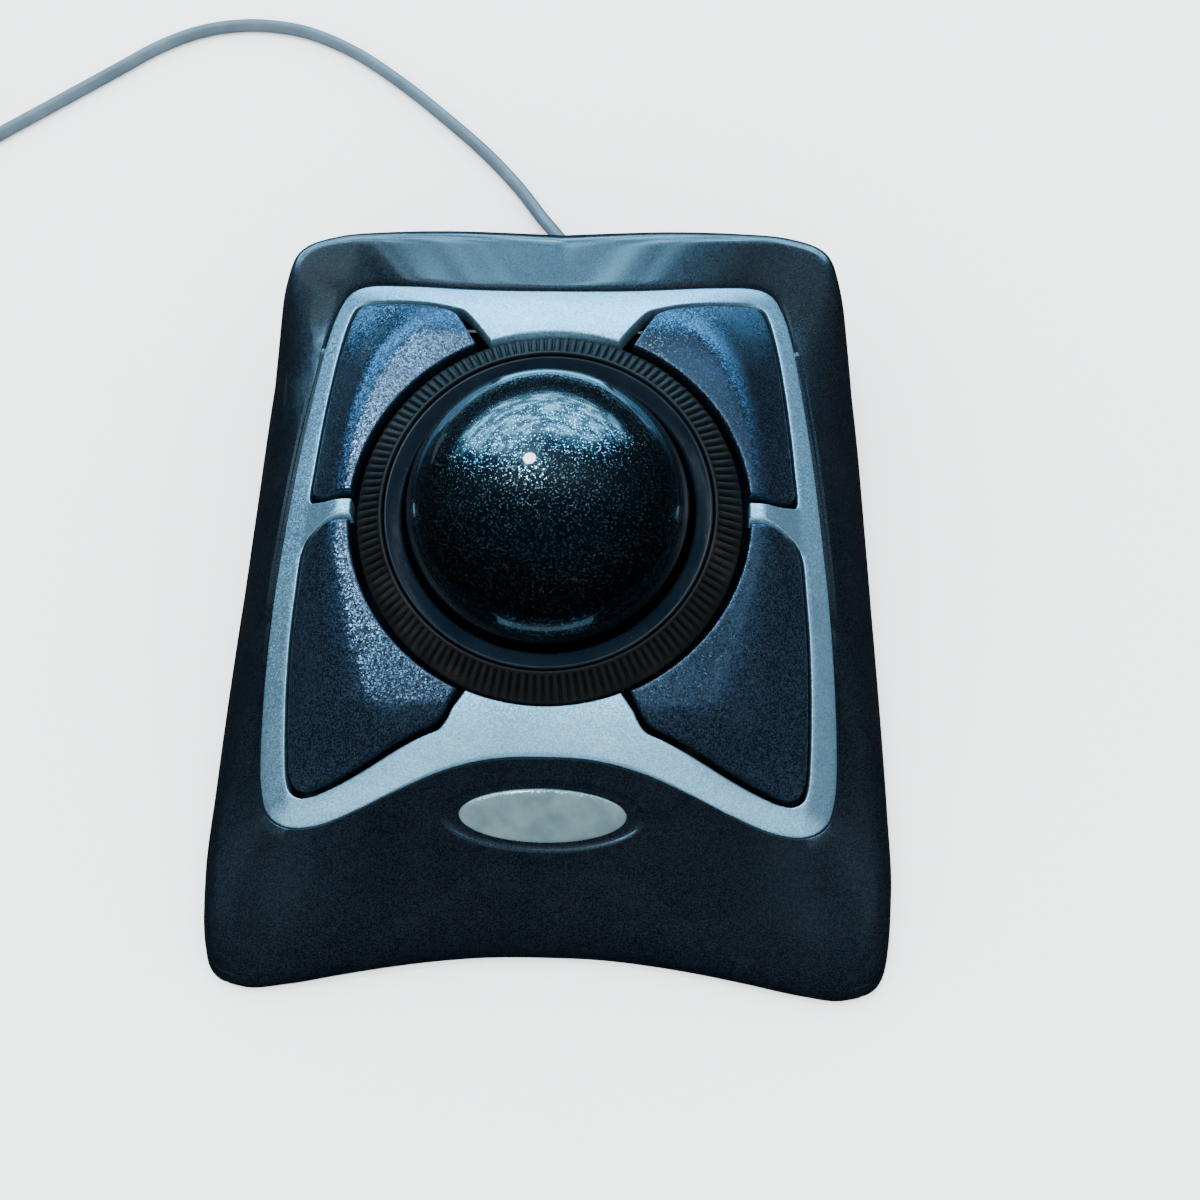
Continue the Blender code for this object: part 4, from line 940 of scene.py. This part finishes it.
def cover_section(edge, foot, along):
    """Return one section of the cover's outer face, from the bezel gap down to the skirt."""
    outward = np.array([foot[0] - edge[0], foot[1] - edge[1]])
    length = float(np.linalg.norm(outward))
    outward /= length
    start_z = float(crown(*edge)) - cover_step(*edge)
    high = start_z - COVER_RIM_Z
    fall, lean, soft = (float(read_table(COVER_SHAPE, column, along)) for column in (1, 2, 3))
    start = Vector((COVER_GAP, start_z))
    foot_at = Vector((length, COVER_RIM_Z))
    knee_z = start_z - fall * high
    knee = Vector((max(COVER_GAP + 0.3, length - lean * (knee_z - COVER_RIM_Z)), knee_z))
    front = share_between(along, *COVER_FRONT)
    section = [(COVER_GAP, start_z - 4.0), (COVER_GAP, start_z - COVER_LIP)]
    for share, drop in EDGE_STEPS[1:-1]:
        section.append((COVER_GAP + COVER_LIP * share, start_z - COVER_LIP * drop - 0.02))
    for k in range(SECTION_STEPS + 1):
        t = SECTION_START + (1.0 - SECTION_START) * (k / SECTION_STEPS)
        rounded = knee_point(start, knee, foot_at, soft, t)
        section.append(tuple(rounded.lerp(front_point(start, length, high, t), front)))
    section[-1] = (length - 0.25, COVER_RIM_Z)
    section.insert(-1, (length, COVER_RIM_Z + 0.35))
    section.append((length - COVER_WALL, COVER_RIM_Z))
    section.append((length - COVER_WALL, min(COVER_RIM_Z + 3.0, start_z - 5.0)))
    return [(edge[0] + outward[0] * s, edge[1] + outward[1] * s, z) for s, z in section]


def make_housing():
    """Loft the housing's painted shell, then sink the badge's dish into its front."""
    parts = 9
    edges = mirror_loop(half_spline(BEZEL_HALF, parts))
    feet = mirror_loop(half_spline(BASE_HALF, parts))
    half = parts * (len(BEZEL_HALF) - 1)
    points = []
    for i, (edge, foot) in enumerate(zip(edges, feet)):
        points += cover_section(edge, foot, min(i, 2 * half - i) / parts)
    total = len(edges)
    count = len(points) // total
    faces = []
    for i in range(total):
        a = i * count
        b = (i + 1) % total * count
        faces += [(a + k, b + k, b + k + 1, a + k + 1) for k in range(count - 1)]
    shell = link_mesh("housing_shell", points, faces, LOOKS["housing"])
    thick = shell.modifiers.new("wall", "SOLIDIFY")
    thick.thickness = SKIN_THICKNESS * MM
    # normals face in on this open mesh, so the offset leaves a third of the skin outside the sections
    thick.offset = SKIN_OFFSET
    sink_badge(shell)
    bore = [(0.0, -6.0), (CORD_BORE_RADIUS, -6.0), (CORD_BORE_RADIUS, 6.0), (0.0, 6.0)]
    centre = (0, REAR_WALL_Y, CORD_EXIT_Z)
    cut(shell, turned("bore_cutter", bore, 40, LOOKS["housing"], centre, aim((0, 1, 0))))
    shell.data.set_sharp_from_angle(angle=math.radians(38.0))
    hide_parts("top_cover")
    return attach(shell, "housing")


def cut(shape, cutter):
    """Subtract a cutter from a shape for good, with its other modifiers applied first."""
    step = shape.modifiers.new("cut", "BOOLEAN")
    step.operation = "DIFFERENCE"
    step.solver = "EXACT"
    step.object = cutter
    bpy.context.view_layer.update()
    graph = bpy.context.evaluated_depsgraph_get()
    mesh = bpy.data.meshes.new_from_object(shape.evaluated_get(graph))
    shape.modifiers.clear()
    shape.data = mesh
    bpy.data.objects.remove(cutter, do_unlink=True)


def sink_badge(shell):
    """Cut the badge's elliptical dish, with a rolled lip that follows the surface."""
    build = bmesh.new()
    build.from_mesh(shell.data)
    tree = BVHTree.FromBMesh(build)
    build.free()
    normal = BADGE_TURN @ Vector((0, 0, 1))
    long_axis, short_axis = BADGE_RECESS
    segments = 120
    points = []
    for grow, depth in DISH_ROWS:
        for k in range(segments):
            a = 2 * math.pi * k / segments
            local = Vector(((long_axis + grow) * math.cos(a), (short_axis + grow) * math.sin(a), 0.0))
            place = BADGE_CENTRE + BADGE_TURN @ local
            hit = tree.ray_cast((place + normal * 12.0) * MM, -normal)
            level = hit[0] / MM if hit[0] is not None else place
            points.append(tuple(place + normal * ((level - place).dot(normal) + depth)))
    rows = len(DISH_ROWS)
    faces = strip_faces(rows, segments) + cap_faces(rows, segments)
    cut(shell, link_mesh("dish_cutter", points, faces, LOOKS["housing"]))


def make_badge():
    """Make the blank domed resin badge."""
    low = BADGE_UNDERSIDE
    rows = [(0.0, low), (0.6, low), (0.985, low), (1.0, low + 0.12), (1.0, BADGE_EDGE)]
    for k in range(1, 13):
        angle = math.pi / 2 * k / 12
        rows.append((math.cos(angle) ** 0.55, BADGE_EDGE + BADGE_RISE * math.sin(angle) ** 0.8))
    rows[-1] = (0.0, rows[-1][1])
    oval = BADGE_TURN @ Matrix.Diagonal((*BADGE_DOME, 1.0))
    made = turned("badge_plate", rows, 120, LOOKS["badge"], BADGE_CENTRE, oval, 60.0)
    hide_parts("badge_dome")
    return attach(made, "housing")


# ---------------------------------------------------------------- bezel and buttons

def make_bezel():
    """Make the silver frame with its arms, webs and rounded edges."""
    step = 0.7
    tips = [[tip] for tip in ARM_TIP]
    runs = [opening_arc((0.0, 47.0), (NOTCH_X[0], 44.9), step), catmull(REAR_OPENING, step), *tips,
            catmull(FRONT_OPENING, step), opening_arc((NOTCH_X[1], -26.4), (0.0, -29.2), step)]
    outer = mirror_loop(half_spline(BEZEL_HALF, 14))
    inner = mirror_loop(join_runs(runs, step))
    made = plate("bezel_plate", outer, [inner], crown, BEZEL_THICKNESS, 0.8, LOOKS["bezel"], 0.4)
    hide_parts("bezel_frame")
    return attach(made, "housing")


def make_button(side, place):
    """Make one button plate; side is +1 on the right and -1 on the left."""
    step = 0.6
    if place == "rear":
        arc = opening_arc((39.0, 12.7), REAR_BUTTON_NOTCH, step, BUTTON_GAP)
        edge = catmull(REAR_BUTTON_EDGE, step)
    else:
        arc = opening_arc(FRONT_BUTTON_NOTCH, (39.0, 6.9), step, BUTTON_GAP)
        edge = catmull(FRONT_BUTTON_EDGE, step)
    loop = [(side * x, y) for x, y in join_runs([arc, edge, arc[:1]], step)[:-1]]
    word = "left" if side < 0 else "right"
    made = plate(f"key_{place}_{word}", loop, [], crown, BUTTON_THICKNESS, 0.6, LOOKS["button"], 0.42)
    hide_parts(f"button_{place}_{word}")
    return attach(made, f"button_{place}_{word}")


# ---------------------------------------------------------------- ring, cup and ball

def make_ring():
    """Make the scroll ring with its radial ribs."""
    profile = RING_TOP + RING_UNDERSIDE
    depths = RIB_DEPTH + [0.0] * len(RING_UNDERSIDE)
    points = []
    for i, (radius, height) in enumerate(profile):
        run = np.subtract(profile[(i + 1) % len(profile)], profile[i - 1])
        along, rising = run / np.linalg.norm(run)
        for rib in range(RIB_COUNT):
            for place, share in RIB_SHAPE:
                angle = 2 * math.pi * (rib + place) / RIB_COUNT
                sink = depths[i] * share
                r = radius + rising * sink
                points.append((r * math.cos(angle), r * math.sin(angle), height - along * sink))
    points = np.array(points) @ np.array(RING_TURN).T + np.array(BALL_CENTRE)
    faces = strip_faces(len(profile), RIB_COUNT * len(RIB_SHAPE), closed=True)
    made = link_mesh("ribbed_ring", points, faces, LOOKS["ring"], 55.0)
    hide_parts("scroll_ring")
    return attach(made, "ring")


def make_cup():
    """Make the polished annulus and bowl that hold the ball."""
    profile = [(0.0, -BOWL_RADIUS)]
    for k in range(1, 25):
        a = math.pi / 2 * (1 - k / 24)
        profile.append((BOWL_RADIUS * math.cos(a), -BOWL_RADIUS * math.sin(a)))
    profile += CUP_RIM
    for k in range(1, 12):
        a = math.radians(21 + 69 * k / 11)
        profile.append((BOWL_OUTER_RADIUS * math.cos(a), -BOWL_OUTER_RADIUS * math.sin(a)))
    profile[-1] = (0.0, -BOWL_OUTER_RADIUS)
    made = turned("bowl_and_rim", profile, 160, LOOKS["gloss"], BALL_CENTRE, RING_TURN, 45.0)
    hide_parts("ball_cup")
    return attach(made, "housing")


def make_ball():
    """Make the polished ball with even small faces."""
    mesh = bpy.data.meshes.new("polished_ball")
    build = bmesh.new()
    bmesh.ops.create_icosphere(build, subdivisions=6, radius=BALL_RADIUS * MM)
    for face in build.faces:
        face.smooth = True
    build.to_mesh(mesh)
    build.free()
    mesh.materials.append(LOOKS["ball"])
    made = bpy.data.objects.new("polished_ball", mesh)
    made.location = BALL_CENTRE * MM
    bpy.context.collection.objects.link(made)
    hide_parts("trackball")
    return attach(made, "ball")


make_housing()
make_badge()
make_bezel()
for at in ("rear", "front"):
    for sign in (-1, 1):
        make_button(sign, at)
make_ring()
make_cup()
make_ball()


# ---------------------------------------------------------------- carried-over nodes

# Node names, or the first words of those that come in numbers, with their looks.
KEPT = {
    "base_plate": "base", "rubber_foot": "foot", "case_screw": "steel", "support_bearing": "pin",
    "circuit_board": "board", "sensor_board": "board", "controller_chip": "chip",
    "optical_sensor": "chip", "ring_sensor": "chip", "code_ring": "chip", "ring_glide": "chip",
    "sensor_lens": "lens", "sensor_led": "lamp", "cord_connector": "nylon", "microswitch": "chip",
    "switch_plunger": "nylon", "plug_shell": "steel", "plug_tongue": "nylon",
}
for node, made in frame["nodes"].items():
    for start, look in KEPT.items():
        if node.startswith(start):
            made.data.materials.clear()
            made.data.materials.append(LOOKS[look])


# ---------------------------------------------------------------- studio

def make_floor():
    """Lay a plain pale floor."""
    mesh = bpy.data.meshes.new("studio_floor")
    reach = 3.0
    mesh.from_pydata([(-reach, -reach, 0), (reach, -reach, 0), (reach, reach, 0), (-reach, reach, 0)], [],
                     [(0, 1, 2, 3)])
    mesh.materials.append(floor_look())
    made = bpy.data.objects.new("studio_floor", mesh)
    made.visible_glossy = False
    bpy.context.collection.objects.link(made)


LAMP_TARGET = Vector((0.0, 0.01, 0.05))


def area_light(name, azimuth, elevation, distance, size, power, colour):
    """Place a soft round lamp in a direction, in degrees, and a distance from its target, in metres."""
    data = bpy.data.lights.new(name, "AREA")
    data.shape = "DISK"
    data.size = size
    data.energy = power
    data.color = colour
    a = math.radians(azimuth)
    e = math.radians(elevation)
    way = Vector((math.sin(a) * math.cos(e), math.cos(a) * math.cos(e), math.sin(e)))
    made = bpy.data.objects.new(name, data)
    made.location = LAMP_TARGET + way * distance
    made.rotation_euler = (-way).to_track_quat("-Z", "Y").to_euler()
    bpy.context.collection.objects.link(made)
    return made


def leave_out(lamp, name):
    """Keep a lamp's light off one piece."""
    lit = bpy.data.collections.new(f"lit_by_{lamp.name}")
    for piece in bpy.context.scene.objects:
        if piece.type == "MESH" and piece.name != name:
            lit.objects.link(piece)
    lamp.light_linking.receiver_collection = lit


def room_colours(room):
    """Return what shiny parts mirror: a dark room with a bright, streaky band behind."""
    split = room.add("ShaderNodeSeparateXYZ")
    room.link(room.place, split.inputs[0])
    x, y, z = split.outputs
    dome = room.ramp(room.maths("ADD", room.maths("MULTIPLY", z, 0.5), 0.5),
                     (0.0, (0.010, 0.010, 0.010)), (0.5, (0.02, 0.03, 0.04)),
                     (0.72, (0.045, 0.085, 0.12)), (0.86, (0.10, 0.18, 0.24)), (1.0, (0.34, 0.52, 0.64)))
    dim = room.mix(room.span(y, 0.15, -0.35, smooth=True), dome, (0.14, 0.17, 0.20), "MULTIPLY")
    # the band lies 7 degrees left of straight behind, between two heights
    square = room.maths("SUBTRACT", 1.0, room.maths("MULTIPLY", z, z))
    flat = room.maths("SQRT", room.maths("MAXIMUM", square, 0.0004))
    toward = room.maths("ADD", room.maths("MULTIPLY", y, 0.9925), room.maths("MULTIPLY", x, -0.1219))
    facing = room.span(room.maths("DIVIDE", toward, flat), 0.52, 0.84, smooth=True)
    above = room.span(z, 0.10, 0.28, smooth=True)
    below = room.span(z, 0.86, 0.76, smooth=True)
    band = room.maths("MULTIPLY", facing, room.maths("MULTIPLY", above, below))
    streak = room.span(room.noise(2.1, 3.0, stretch=(3.0, 3.0, 9.0)), 0.46, 0.62, smooth=True)
    lively = room.maths("MULTIPLY", band, room.maths("ADD", 0.35, room.maths("MULTIPLY", streak, 1.9)))
    return room.mix(lively, dim, (2.4, 6.0, 8.8), "ADD", clamp=False)


def make_world():
    """Fill the room with even pale light, and give shiny parts a room to mirror."""
    world = bpy.data.worlds.new("studio_room")
    world.use_nodes = True
    room = Tree(world.node_tree, "Generated")
    soft = room.tree.nodes["Background"]
    soft.inputs["Color"].default_value = (0.95, 0.98, 1.0, 1.0)
    soft.inputs["Strength"].default_value = 3.8
    shine = room.add("ShaderNodeBackground", Strength=1.0)
    room.link(room_colours(room), shine.inputs["Color"])
    choose = room.add("ShaderNodeMixShader")
    room.link(room.add("ShaderNodeLightPath").outputs["Is Glossy Ray"], choose.inputs[0])
    room.link(soft.outputs[0], choose.inputs[1])
    room.link(shine.outputs[0], choose.inputs[2])
    room.link(choose.outputs[0], room.tree.nodes["World Output"].inputs["Surface"])
    bpy.context.scene.world = world


make_floor()
make_world()
area_light("soft_key", -30.0, 52.0, 1.3, 0.90, 1.8, (0.55, 0.84, 1.0))
small_lamp = area_light("small_lamp", -37.0, 71.5, 1.1, 0.17, 5.4, (0.80, 0.95, 1.0))
# the housing's corner would mirror the small lamp as a broad white spot
leave_out(small_lamp, "housing_shell")
